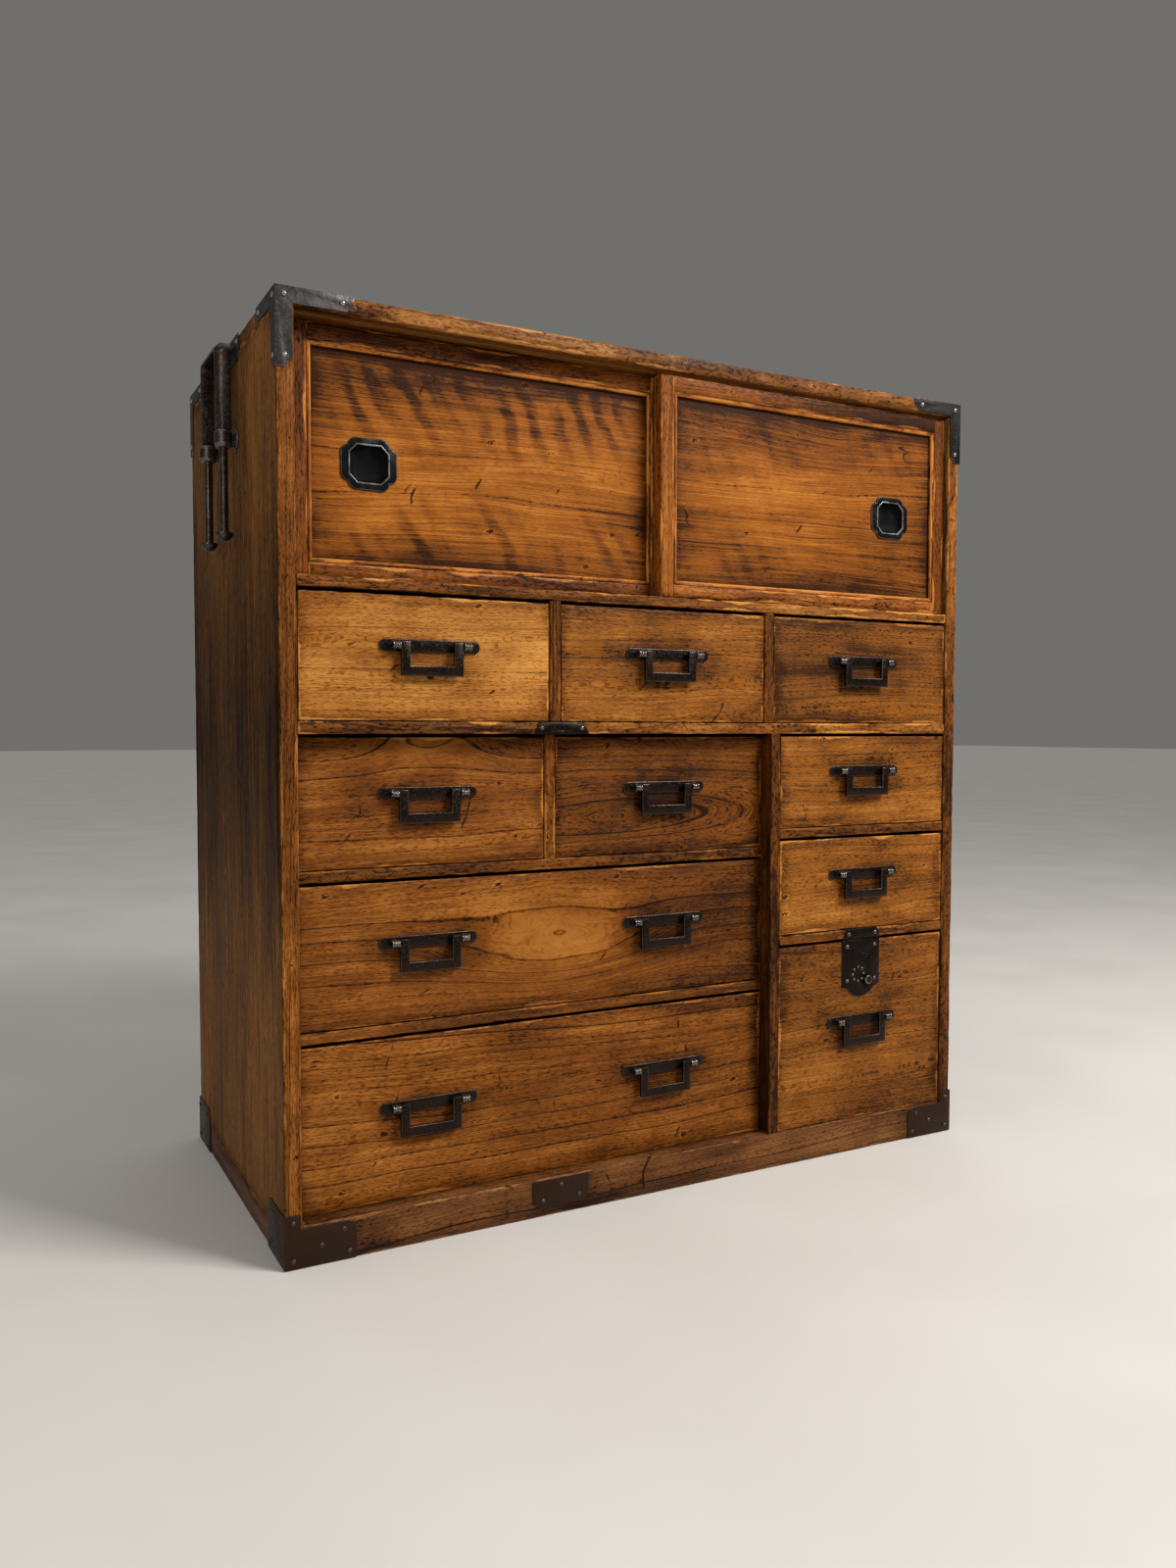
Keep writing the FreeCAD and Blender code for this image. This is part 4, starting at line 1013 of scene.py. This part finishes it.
def make_sides():
    z = (LEFT[Z][0], TOP_UNDER)
    for node, x, pith in (
        ("left_side_panel", LEFT[X], None),
        ("right_side_panel", RIGHT[X], RIGHT_SIDE_PITH),
    ):
        side = board(node + "_worn", x, (FRONT_Y, BACK_Y), z, Z, chip=SIDE_CHIP, pith=pith)
        # Painted bounce light and sheen low and high on each side, painted shade half way up
        lighten(side, side_fading)
        paint(side, CASE_WOOD)
        paint_part(side, DIVIDER_WOOD, lambda place: place.y < FRONT_Y + SKIN)
        hand_over(side, None, "chest", "case_wood", node)


def make_top_and_shelves():
    """The top board and the two full shelves, with the grooves that the doors run in."""
    # Painted shadow on the top board's face under each corner strap, laid on as a stain near an iron
    straps = [(x, TOP_UNDER) for x in (LEFT[X][0] + STRAP_REACH / 2, RIGHT[X][1] - STRAP_REACH / 2)]
    top = board(
        "top_board_worn", *TOP, X, arris=TOP_ARRIS, chip=TOP_CHIP, step=TOP_CUT_STEP, irons=straps)
    hand_over(top, TOP_WOOD, "chest", "case_wood", "top_board")
    shelves = []
    for name, z in (("row_shelf", ROW_SHELF_Z), ("door_shelf", DOOR_SHELF_Z)):
        shelves.append(
            board(name, INNER_X, (FRONT_Y, INNER_BACK_Y), z, X, arris=RAIL_ARRIS, chip=RAIL_CHIP))
        # Painted shade in the gap behind the shelf's front arris
        paint_gap_shade(shelves[-1], FRONT_Y, RAIL_ARRIS)
    for door in ("left_door", "right_door"):
        carve(shelves[1], groove(door, SILL - SILL_GROOVE, SILL + SPILL))
        carve(top, groove(door, TOP_UNDER - SPILL, TOP_UNDER + HEAD_GROOVE))
    hand_over(join("shelf_boards_worn", shelves), FRAME_WOOD, "chest", "frame_wood", "shelf_boards")


def bolt_space(low_z, high_z):
    """The space that the lock's bolt moves in between two heights."""
    x, y, z = limits("lock_bolt")
    return block(wider(x, BOLT_PLAY), wider(y, BOLT_PLAY), (low_z, high_z))


def make_dividers():
    """The boards that drawers run on and the uprights between them, each where two openings part."""
    column = (opening("small_right")[0][1], opening("side_upper")[0][0])
    bay = (INNER_X[0], column[0])
    side = (column[1], INNER_X[1])
    boards = []
    for name, x, y, below, above in (
        ("wide_rail", bay, BAY_Y, "wide_lower", "wide_upper"),
        ("small_rail", bay, BAY_Y, "wide_upper", "small_left"),
        ("lock_rail", side, FRONT_Y, "side_lower", "side_middle"),
        ("side_rail", side, FRONT_Y, "side_middle", "side_upper"),
    ):
        z = (opening(below)[1][1], opening(above)[1][0])
        boards.append(board(
            name, x, (y, INNER_BACK_Y), z, X, arris=RAIL_ARRIS, chip=RAIL_CHIP, shade=RAIL_SHADE))
        # Painted shade in the gap behind the rail's front arris
        paint_gap_shade(boards[-1], y, RAIL_ARRIS)
        if name == "lock_rail":
            carve(boards[-1], bolt_space(z[0] - TOP_GAP, z[0] + BOLT_TRAVEL + BOLT_PLAY))
    y, z = (FRONT_Y, INNER_BACK_Y), (BOTTOM[Z][1], ROW_SHELF_Z[0])
    boards.append(board("column_upright", column, y, z, Z, chip=UPRIGHT_CHIP, shade=COLUMN_SHADE))
    for name, y, left, right in (
        ("small_upright", BAY_Y, "small_left", "small_right"),
        ("row_left_upright", FRONT_Y, "row_left", "row_middle"),
        ("row_right_upright", FRONT_Y, "row_middle", "row_right"),
    ):
        x = (opening(left)[0][1], opening(right)[0][0])
        boards.append(board(name, x, (y, INNER_BACK_Y), opening(left)[1], Z, chip=UPRIGHT_CHIP))
    hand_over(join("drawer_dividers_worn", boards), DIVIDER_WOOD, "chest", "frame_wood", "drawer_dividers")


def make_back():
    pitch = (BACK[X][1] - BACK[X][0]) / BACK_BOARD_COUNT
    boards = []
    for index in range(BACK_BOARD_COUNT):
        start = BACK[X][0] + index * pitch
        x = (start, start + pitch - BACK_SEAM)
        boards.append(board(f"back_board_{index}", x, (INNER_BACK_Y, BACK_Y), BACK[Z], Z, **LIGHT_WEAR))
    hand_over(join("back_boards_worn", boards), INNER_WOOD, "chest", "inner_wood", "back_boards")


def make_base():
    depth = BOTTOM[Y][0] - FRONT_Y
    x, z = (LEFT[X][0], RIGHT[X][1]), (0, BOTTOM[Z][0])
    front_y, back_y = (FRONT_Y, FRONT_Y + depth), (BACK_Y - depth, BACK_Y)
    side_y = (front_y[1], back_y[0])
    plates = (x[0] + BASE_PLATE_REACH / 2, BASE_PLATE_X, x[1] - BASE_PLATE_REACH / 2)
    irons = [(place, z[1] / 2) for place in plates]
    pieces = [
        board("front_rail", INNER_X, front_y, (0, BOTTOM[Z][1]), X, arris=BASE_ARRIS, irons=irons),
        board("front_left_end", (x[0], INNER_X[0]), front_y, z, X),
        board("front_right_end", (INNER_X[1], x[1]), front_y, z, X),
        board("back_rail", x, back_y, z, X, arris=BASE_ARRIS),
        board("left_rail", (x[0], x[0] + depth), side_y, z, Y, arris=BASE_ARRIS),
        board("right_rail", (x[1] - depth, x[1]), side_y, z, Y, arris=BASE_ARRIS),
    ]
    hand_over(join("base_frame_worn", pieces), BASE_WOOD, "chest", "base_wood", "base_frame")


# Sliding doors

def make_bead(name, inner, outer, y):
    """One mitred strip on a panel, between its inner and outer lines of X and Z points."""
    xs, zs = zip(*inner, *outer)
    ranges = (min(xs), max(xs)), (y, y + BEAD_HEIGHT), (min(zs), max(zs))
    low, high = corners(*ranges)
    level = inner[0][1] == inner[1][1]
    grain, across = (X, Z) if level else (Z, X)
    line = inner[0][1] if level else inner[0][0]
    ends = sorted(point[0] if level else point[1] for point in inner)
    obj = block(*ranges)
    edit(obj)

    def on_inner(vertex):
        return abs(vertex.co[across] - line) < TOUCH

    for limit, end in zip((low[grain], high[grain]), ends):
        pick(obj, "verts", lambda v: on_inner(v) and abs(v.co[grain] - limit) < TOUCH)
        step = [0, 0, 0]
        step[grain] = end - limit
        shift_by(step)
    pick(obj, "edges", lambda e: all(on_inner(v) and v.co.y < y + TOUCH for v in e.verts))
    bpy.ops.mesh.bevel(offset=BEAD_ROUND, segments=4, profile=0.5)
    leave_edit()
    soften(obj, BEAD_ARRIS, segments=1, angle=60)
    set_grain(obj, low, high, grain, name)
    far_line = high[across] + low[across] - line

    def in_bead_highlight(place):
        return place.y < y + BEAD_HIGHLIGHT_DEPTH and abs(place[across] - far_line) > SKIN

    # Painted highlight on the bead's rounded top, painted shade where it meets frame and panel
    lighten(obj, lambda place: 0.25 if in_bead_highlight(place) else -0.5)
    smooth(obj)
    return obj


def make_beads(door, inner_x, inner_z, y):
    """The four beads round a door's panel, each from one corner to the next."""
    corners = ((0, 0), (1, 0), (1, 1), (0, 1))
    outer = [(inner_x[i], inner_z[j]) for i, j in corners]
    inner = [
        (inner_x[i] + (1 - 2 * i) * BEAD_WIDTH, inner_z[j] + (1 - 2 * j) * BEAD_WIDTH)
        for i, j in corners
    ]
    beads = []
    for index in range(4):
        after = (index + 1) % 4
        lines = (inner[index], inner[after]), (outer[index], outer[after])
        beads.append(make_bead(f"{door}_bead_{index}", *lines, y))
    return beads


def cut_corner_plate(width, height, corner):
    """A flat face at the origin, standing in the XZ plane, with its corners cut."""
    deselect()
    bpy.ops.mesh.primitive_plane_add(size=1, rotation=(math.pi / 2, 0, 0))
    bpy.context.object.scale = (width, height, 1)
    obj = settled()
    edit(obj)
    select_all()
    bpy.ops.mesh.bevel(offset=corner, segments=1, affect="VERTICES")
    leave_edit()
    return obj


def cup_cutter(place):
    """The hole that a pull's cup needs in its panel."""
    before, depth = CUP_CUT
    obj = cut_corner_plate(CUP_WIDTH + 2 * CUP_PLAY, CUP_HEIGHT + 2 * CUP_PLAY, CUP_CORNER)
    edit(obj)
    select_all()
    shift_by((0, -before, 0))
    extrude((0, depth, 0))
    turn_faces()
    shift_by(place)
    leave_edit()
    return obj


def make_door(side, pith, figure, shade):
    """A door's frame, beads and panel, with the pull in the panel."""
    name = side + "_door"
    x, y, z = limits(name)
    pull = limits(name + "_pull")
    body_z = (SILL + RUN_GAP, TOP_UNDER - LIFT_GAP)
    inner_x = (x[0] + STILE, x[1] - STILE)
    inner_z = (body_z[0] + FOOT_RAIL, body_z[1] - TOP_RAIL)
    tongue_y = around(sum(y) / 2, TONGUE)
    panel_y = (y[0] + PANEL_SINK, y[0] + PANEL_SINK + PANEL_THICKNESS)
    # The top rail gets a painted shadow from the top board, and light wear
    top_rail_shadow_and_wear = {"shade": DOOR_TOP_RAIL_PAINTED_SHADOW, **LIGHT_WEAR}
    frame_pieces = [
        board(name + "_left_stile", (x[0], inner_x[0]), y, body_z, Z, **LIGHT_WEAR),
        board(name + "_right_stile", (inner_x[1], x[1]), y, body_z, Z, **LIGHT_WEAR),
        board(name + "_top_rail", inner_x, y, (inner_z[1], body_z[1]), X, **top_rail_shadow_and_wear),
        board(name + "_foot_rail", inner_x, y, (body_z[0], inner_z[0]), X, **LIGHT_WEAR),
        board(name + "_foot_tongue", x, tongue_y, (z[0], body_z[0] + TENON), X),
        board(name + "_head_tongue", x, tongue_y, (body_z[1] - TENON, z[1]), X),
    ]
    frame_pieces += make_beads(name, inner_x, inner_z, panel_y[0] - BEAD_HEIGHT)
    for piece in frame_pieces:
        paint(piece, DOOR_FRAME_WOOD)
    panel = board(
        name + "_panel", wider(inner_x, TENON), panel_y, wider(inner_z, TENON), X, pith=pith, shade=shade)
    middle_z = sum(inner_z) / 2

    # Painted shade: darker towards the top under the top board, and near the rim with soil and painted shade
    # from the frame
    def fading(place):
        from_rim = min(place.x - inner_x[0], inner_x[1] - place.x, place.z - inner_z[0], inner_z[1] - place.z)
        return -1.3 * max(0.0, place.z - middle_z) - 0.4 * math.exp(-from_rim / RIM_SOIL_AND_SHADE)

    lighten(panel, fading)
    set_figure(panel, Vector((inner_x[0], 0, inner_z[0])), Vector((inner_x[1], 0, inner_z[1])), figure)
    middle = Vector((sum(pull[X]) / 2, panel_y[0], sum(pull[Z]) / 2))
    carve(panel, cup_cutter(middle))
    paint(panel, PANEL_WOOD)
    hand_over(join(name + "_framed", [panel] + frame_pieces), None, name, "door_wood", name)
    make_pull(name, middle)


# Iron pieces taken from the frame and finished by file and hammer

def merged_copy(name, node):
    """A frame node's shape as a new piece, with its triangles joined into whole faces."""
    obj = frame["nodes"][node].copy()
    obj.data = obj.data.copy()
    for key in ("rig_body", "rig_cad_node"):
        del obj[key]
    obj.parent = None
    obj.name = name
    link(obj)
    edit(obj)
    select_all()
    bpy.ops.mesh.remove_doubles(threshold=TOUCH)
    bpy.ops.mesh.dissolve_limited(angle_limit=math.radians(FLAT_ANGLE))
    leave_edit()
    return obj


def forged_copy(name, node, width, nail_facet=0.0):
    obj = merged_copy(name, node)
    file_edges(obj, width, nail_facet=nail_facet)
    return obj


def make_pull(door, place):
    """A dished pull: lobed rim, a raised bead round the mouth and a hollow that falls away smoothly."""
    rim = merged_copy(door + "_pull_rim", door + "_pull")
    file_edges(rim, PLAIN_FILING, angle=30)
    mouth = (place.x, place.y - PULL_RIM, place.z)
    pieces = [(rim, LACQUER), (make_pull_bead(mouth), LACQUER), (make_pull_hollow(mouth), DULL_LACQUER)]
    for piece, finish in pieces:
        paint(piece, finish)
    pull = join(door + "_pull_worn", [piece for piece, finish in pieces])
    hand_over(pull, None, door, "black_lacquer", door + "_pull")


def make_pull_bead(mouth):
    x, y, z = mouth
    bead = cut_corner_plate(CUP_WIDTH + PULL_BEAD_GROWTH, CUP_HEIGHT + PULL_BEAD_GROWTH, PULL_BEAD_CORNER)
    edit(bead)
    select_all()
    bpy.ops.mesh.inset(thickness=PULL_BEAD_WIDTH, depth=0)
    bpy.ops.mesh.delete(type="FACE")
    select_all()
    extrude((0, -PULL_BEAD_HEIGHT, 0))
    turn_faces()
    shift_by((x, y + PULL_BEAD_SINK, z))
    leave_edit()
    file_edges(bead, PLAIN_FILING)
    rub_all_over(bead)
    return bead


def make_pull_hollow(mouth):
    hollow = cut_corner_plate(CUP_WIDTH - HOLLOW_SHRINK, CUP_HEIGHT - HOLLOW_SHRINK, CUP_CORNER)
    edit(hollow)
    select_all()
    bpy.ops.mesh.delete(type="ONLY_FACE")
    select_all()
    for share, drop in HOLLOW_STEPS:
        extrude((0, drop * MM, 0))
        bpy.ops.transform.resize(value=(share, 1, share))
    bpy.ops.mesh.edge_face_add()
    turn_faces(inside=True)
    shift_by(mouth)
    leave_edit()
    smooth(hollow, 35)
    return hollow


# Drawer handles, modelled once at the origin with the drawer's face at y = 0

def make_handle_plate():
    obj = block(
        around(0, HANDLE_PLATE_LENGTH), (-HANDLE_PLATE_THICKNESS, 0), around(0, HANDLE_PLATE_HEIGHT))
    edit(obj)
    pick(obj, "edges", lambda edge: runs_along(edge, Y))
    bpy.ops.mesh.bevel(offset=0.49 * HANDLE_PLATE_HEIGHT, segments=6, profile=0.5)
    leave_edit()
    file_edges(obj, PLATE_FILING, 3)
    return obj


def make_post(x, stand_off):
    """A post with a collar, a ringed eye round the bail's pin and a tail clenched behind the drawer front."""
    shaft = rod(POST_DIAMETER, stand_off, (x, -stand_off / 2, 0), Y)
    file_edges(shaft, FINE_FILING)
    foot = HANDLE_PLATE_THICKNESS + POST_COLLAR_RISE
    collar = rod(POST_COLLAR, foot, (x, -foot / 2, 0), Y)
    file_edges(collar, ROUND_FILING)
    eye = rod(EYE_DIAMETER, EYE_LENGTH, (x, -stand_off, 0), X)
    edit(eye)
    pick(eye, "edges", lambda edge: runs_along(edge, X))
    bpy.ops.mesh.subdivide(number_cuts=5)
    for side in (-1, 1):
        waist = x + side * EYE_LENGTH / 6
        pick(eye, "verts", lambda vertex: abs(vertex.co.x - waist) < TOUCH)
        bpy.ops.transform.resize(value=(1, EYE_WAIST, EYE_WAIST))
    leave_edit()
    file_edges(eye, PLAIN_FILING, angle=25)
    rub_all_over(eye)
    for piece in (shaft, eye):
        carve(piece, rod(PIN_DIAMETER + PIN_PLAY, 2 * EYE_LENGTH, (x, -stand_off, 0), X))
    width, thickness, length = TAIL_SIZE
    tail = block(around(x, width), (DRAWER_FRONT, DRAWER_FRONT + thickness), around(0, length))
    file_edges(tail, PLAIN_FILING)
    return [shaft, collar, eye, tail]


def make_dome(diameter, height, place):
    """A round nail head that stands out towards the front."""
    deselect()
    bpy.ops.mesh.primitive_uv_sphere_add(segments=20, ring_count=12, radius=diameter / 2)
    obj = bpy.context.object
    edit(obj)
    select_all()
    bpy.ops.mesh.bisect(plane_co=(0, 0, 0), plane_no=(0, 1, 0), clear_outer=True, use_fill=True)
    select_all()
    bpy.ops.transform.resize(value=(1, 2 * height / diameter, 1))
    shift_by(place)
    leave_edit()
    smooth(obj)
    return obj


def make_handle_irons(spread, drop, stand_off):
    """Plate, two posts and the stop nail of one handle, round the middle of its pin line."""
    pieces = [make_handle_plate()] + make_post(-spread, stand_off) + make_post(spread, stand_off)
    pieces.append(make_dome(STOP_NAIL_DIAMETER, STOP_NAIL_HEIGHT, (0, 0, -drop)))
    irons = join("handle_irons_pattern", pieces)
    paint(irons, HANDLE_IRON)
    return irons


def make_bail_pattern(width, drop, stand_off, thickness):
    """A square swinging bail with its pins, hung from the origin's pin line."""
    half = width / 2
    obj = block((-half, half), around(-stand_off, thickness), (-drop, BAIL_BAR - drop))
    edit(obj)
    for side in (-1, 1):
        select_all()
        bpy.ops.mesh.bisect(plane_co=(side * (half - BAIL_LEG), 0, 0), plane_no=(1, 0, 0))

    def on_leg_top(face):
        return face.normal.z > 0.9 and abs(face.calc_center_median().x) > half - BAIL_LEG

    pick(obj, "faces", on_leg_top)
    extrude((0, 0, drop - BAIL_BAR + PIN_DIAMETER))
    leave_edit()
    file_edges(obj, BAIL_FILING)
    pieces = [obj]
    for side in (-1, 1):
        middle = side * (half + (PIN_LENGTH - BAIL_LEG / 2) / 2)
        pin = rod(PIN_DIAMETER, PIN_LENGTH + BAIL_LEG / 2, (middle, -stand_off, 0), X)
        file_edges(pin, FINE_FILING)
        pieces.append(pin)
    return join("bail_pattern", pieces)


def bail_names(drawer):
    sides = ("left_", "right_") if drawer.startswith("wide") else ("",)
    return [f"{drawer}_drawer_{side}bail" for side in sides]


def pin_line(bail):
    """The middle of a bail's pins, on the face of its drawer."""
    x, y, z = limits(bail)
    face = limits(bail.split("_drawer")[0] + "_drawer_front")[Y][0]
    return Vector((sum(x) / 2, face, z[1] - PIN_DIAMETER))


# Drawers

def make_drawer(drawer, irons_pattern, bail_pattern):
    """A drawer's front, box and irons, and the bails that swing on it."""
    body = drawer + "_drawer"
    bails = bail_names(drawer)
    places = [pin_line(bail) for bail in bails]
    x, y, z = limits(body + "_front")
    z = (z[0], z[1] - PLANED)
    stains = [(place.x, place.z - STAIN_DROP) for place in places]
    front = board(
        body + "_front_worn", x, y, z, X, arris=FRONT_ARRIS, chip=FRONT_CHIP, irons=stains, **CUTS[drawer])
    # Painted shade in the gaps behind the drawer front's arris
    paint_gap_shade(front, y[0], FRONT_ARRIS)
    locking = drawer == "side_lower"
    if locking:
        carve(front, bolt_space(limits("lock_bolt")[Z][0] - BOLT_PLAY, z[1] + TOP_GAP))
    finish, slot = (BAY_WOOD, "bay_drawer_wood") if drawer in BAY_DRAWERS else (ROW_WOOD, "drawer_wood")
    hand_over(front, finish, body, slot, body + "_front")
    make_drawer_box(body)
    irons = [moved_copy(irons_pattern, place) for place in places]
    if locking:
        irons += make_lock(body, places[0].z + HANDLE_PLATE_HEIGHT, y[0])
    hand_over(join(body + "_irons_worn", irons), None, body, "handle_iron", body + "_irons")
    for bail, place in zip(bails, places):
        hung = moved_copy(bail_pattern, place)
        hand_over(hung, HANDLE_IRON, bail, "handle_iron", bail).name = bail + "_worn"


def make_drawer_box(body):
    x, y, z = limits(body + "_box")
    hollow_x = wider(x, -DRAWER_WALL)
    floor_z = (z[0] + DRAWER_FLOOR_RAISE, z[0] + DRAWER_FLOOR_RAISE + DRAWER_FLOOR)
    rear_y = (y[1] - DRAWER_WALL, y[1])
    boards = [
        board(body + "_left_wall", (x[0], hollow_x[0]), y, z, Y, **BOX_WEAR),
        board(body + "_right_wall", (hollow_x[1], x[1]), y, z, Y, **BOX_WEAR),
        board(body + "_floor", hollow_x, y, floor_z, X, **BOX_WEAR),
        board(body + "_rear", hollow_x, rear_y, (floor_z[1], z[1]), X, **BOX_WEAR),
    ]
    hand_over(join(body + "_box_worn", boards), INNER_WOOD, body, "inner_wood", body + "_box")


def make_lock(body, above, face_y):
    """The lock plate with its studs and nails, out of the drawer's irons, and a dark disc of painted shade
    behind its key hole.
    """
    plate = merged_copy("lock_plate", body + "_irons")
    edit(plate)
    pick(plate, "verts", lambda vertex: vertex.co.z < above)
    bpy.ops.mesh.delete(type="VERT")
    leave_edit()
    file_edges(plate, FINE_FILING, nail_facet=NAIL_FACET)
    paint(plate, LOCK_IRON)
    xs = [vertex.co.x for vertex in plate.data.vertices]
    top = max(vertex.co.z for vertex in plate.data.vertices)
    return [plate, make_key_hole_shadow((min(xs) + max(xs)) / 2 + KEY_HOLE_ASIDE, face_y, top - KEY_HOLE_DROP)]


def make_key_hole_shadow(x, face_y, z):
    """A dark disc of painted shade behind a round key hole, a little back from the face of its plate."""
    obj = rod(KEY_HOLE_DIAMETER, KEY_HOLE_THICKNESS, (x, face_y - KEY_HOLE_PROUD, z), Y)
    soften(obj, KEY_HOLE_ARRIS, 1)
    smooth(obj)
    paint(obj, DULL_LACQUER)
    return obj


def make_drawers():
    x, y, z = limits("row_left_drawer_bail")
    place = pin_line("row_left_drawer_bail")
    spread = (x[1] - x[0]) / 2
    drop = place.z - z[0]
    stand_off = place.y - sum(y) / 2
    irons = make_handle_irons(spread, drop, stand_off)
    bail = make_bail_pattern(x[1] - x[0] - 2 * PIN_LENGTH, drop, stand_off, y[1] - y[0])
    for drawer in DRAWERS:
        make_drawer(drawer, irons, bail)
    for pattern in (irons, bail):
        bpy.data.objects.remove(pattern)
    button = forged_copy("lock_button_worn", "lock_button", FINE_FILING, NAIL_FACET)
    hand_over(button, HANDLE_IRON, "lock_button", "handle_iron", "lock_button")
    bolt = forged_copy("lock_bolt_worn", "lock_bolt", PLAIN_FILING)
    hand_over(bolt, FORGED_IRON, "lock_bolt", "forged_iron", "lock_bolt")


# Irons of the case

def make_sleeve(side, x, y, z):
    """A round-shouldered collar for one rod, on a neck from a domed washer on the case's side."""
    wall = LEFT[X][0] if side < 0 else RIGHT[X][1]
    collar = rod(SLEEVE_DIAMETER, SLEEVE_HEIGHT, (x, y, z), Z, 32)
    file_edges(collar, SLEEVE_ROUND, 5)
    carve(collar, rod(ROD_DIAMETER + ROD_PLAY, 1.5 * SLEEVE_HEIGHT, (x, y, z), Z))
    smooth(collar)
    neck_x = sorted((x - side * NECK_SINK, wall))
    neck = block(neck_x, around(y, NECK_WIDTH), around(z, SLEEVE_HEIGHT - 2 * NECK_SHOULDER))
    file_edges(neck, NECK_FILING, 3)
    washer = rod(WASHER_DIAMETER, WASHER_THICKNESS, (wall + side * WASHER_THICKNESS / 2, y, z), X, 32)
    file_edges(washer, WASHER_FILING, 3)
    return [collar, neck, washer]


def make_sleeves():
    """Two collars on each side of the case, in line with the pole handles' rods."""
    x, y, z = limits("pole_handle_sleeves")
    inset = WASHER_DIAMETER / 2
    pieces = []
    for side, edge in ((-1, x[0]), (1, x[1])):
        for line in (y[0] + inset, y[1] - inset):
            pieces += make_sleeve(side, edge - side * SLEEVE_DIAMETER / 2, line, sum(z) / 2)
    sleeves = join("pole_handle_sleeves_worn", pieces)
    hand_over(sleeves, FORGED_IRON, "chest", "forged_iron", "pole_handle_sleeves")


def make_irons():
    straps = forged_copy("corner_irons_worn", "corner_irons", STRAP_FILING, NAIL_FACET)
    paint(straps, STRAP_IRON)
    paint_part(straps, LOCK_IRON, lambda place: KEEP_PLATES_Z[0] < place.z < KEEP_PLATES_Z[1])
    # A dark disc of painted shade behind the keep plate's key hole
    hole = make_key_hole_shadow(KEEP_HOLE_X, FRONT_Y, sum(ROW_SHELF_Z) / 2)
    straps = join("corner_irons_worn", [straps, hole])
    hand_over(straps, None, "chest", "strap_iron", "corner_irons")
    make_sleeves()
    for side in ("left", "right"):
        node = side + "_pole_handle"
        handle = forged_copy(node + "_worn", node, ROUND_FILING)
        hand_over(handle, FORGED_IRON, node, "forged_iron", node)


# Studio

def make_floor():
    deselect()
    bpy.ops.mesh.primitive_plane_add(size=STUDIO_FLOOR_SIZE)
    floor = bpy.context.object
    floor.name = "studio_floor"
    finish, tree, shader = new_finish("studio floor")
    place = object_place(tree)
    mottle = speckle(place, FLOOR_MOTTLE, 3.0)
    base = blend(grade(mottle, 0.3, 0.7), *STUDIO_FLOOR_COLOURS)
    gloss = grade(mottle, 0.3, 0.7, 0.55, 0.7)
    skin = speckle(place, FLOOR_SKIN)
    coat(shader, base, gloss, skin, strength=0.05, depth=1 * MM, shine=FLOOR_SHINE)
    paint(floor, finish)


def hang(name, data):
    """An object for a light or a camera, in the scene."""
    obj = bpy.data.objects.new(name, data)
    link(obj)
    return obj


def soft_light(name, place, size, power, tint):
    lamp = bpy.data.lights.new(name, "AREA")
    lamp.shape = "RECTANGLE"
    lamp.size, lamp.size_y = size
    lamp.energy = power
    lamp.color = tint
    obj = hang(name, lamp)
    obj.location = place
    obj.rotation_euler = (Vector(LIGHT_TARGET) - Vector(place)).to_track_quat("-Z", "Y").to_euler()


def make_studio():
    make_floor()
    for light in SOFT_LIGHTS:
        soft_light(*light)
    sky = bpy.data.lights.new("sky_light", "SUN")
    sky.energy = SKY_POWER
    sky.angle = math.radians(SKY_SPREAD)
    hang("sky_light", sky)
    room = bpy.data.worlds.new("studio")
    room.use_nodes = True
    glow = room.node_tree.nodes["Background"].inputs
    glow["Color"].default_value = ROOM_TINT
    glow["Strength"].default_value = ROOM_POWER
    bpy.context.scene.world = room
    bpy.context.scene.view_settings.view_transform = "Standard"


def make_camera():
    camera = bpy.data.cameras.new("camera")
    camera.lens = CAMERA_LENS
    camera.sensor_width = CAMERA_SENSOR
    obj = hang("camera", camera)
    obj.location = CAMERA_PLACE
    obj.rotation_euler = [math.radians(angle) for angle in CAMERA_TURN]
    bpy.context.scene.camera = obj


make_case()
make_door("left", pith=(0.02, -0.3, 0.06), figure=0.33, shade=0.05)
make_door("right", pith=(0.015, 0.28, 0.06), figure=0.13, shade=-0.03)
make_drawers()
make_irons()
make_studio()
make_camera()
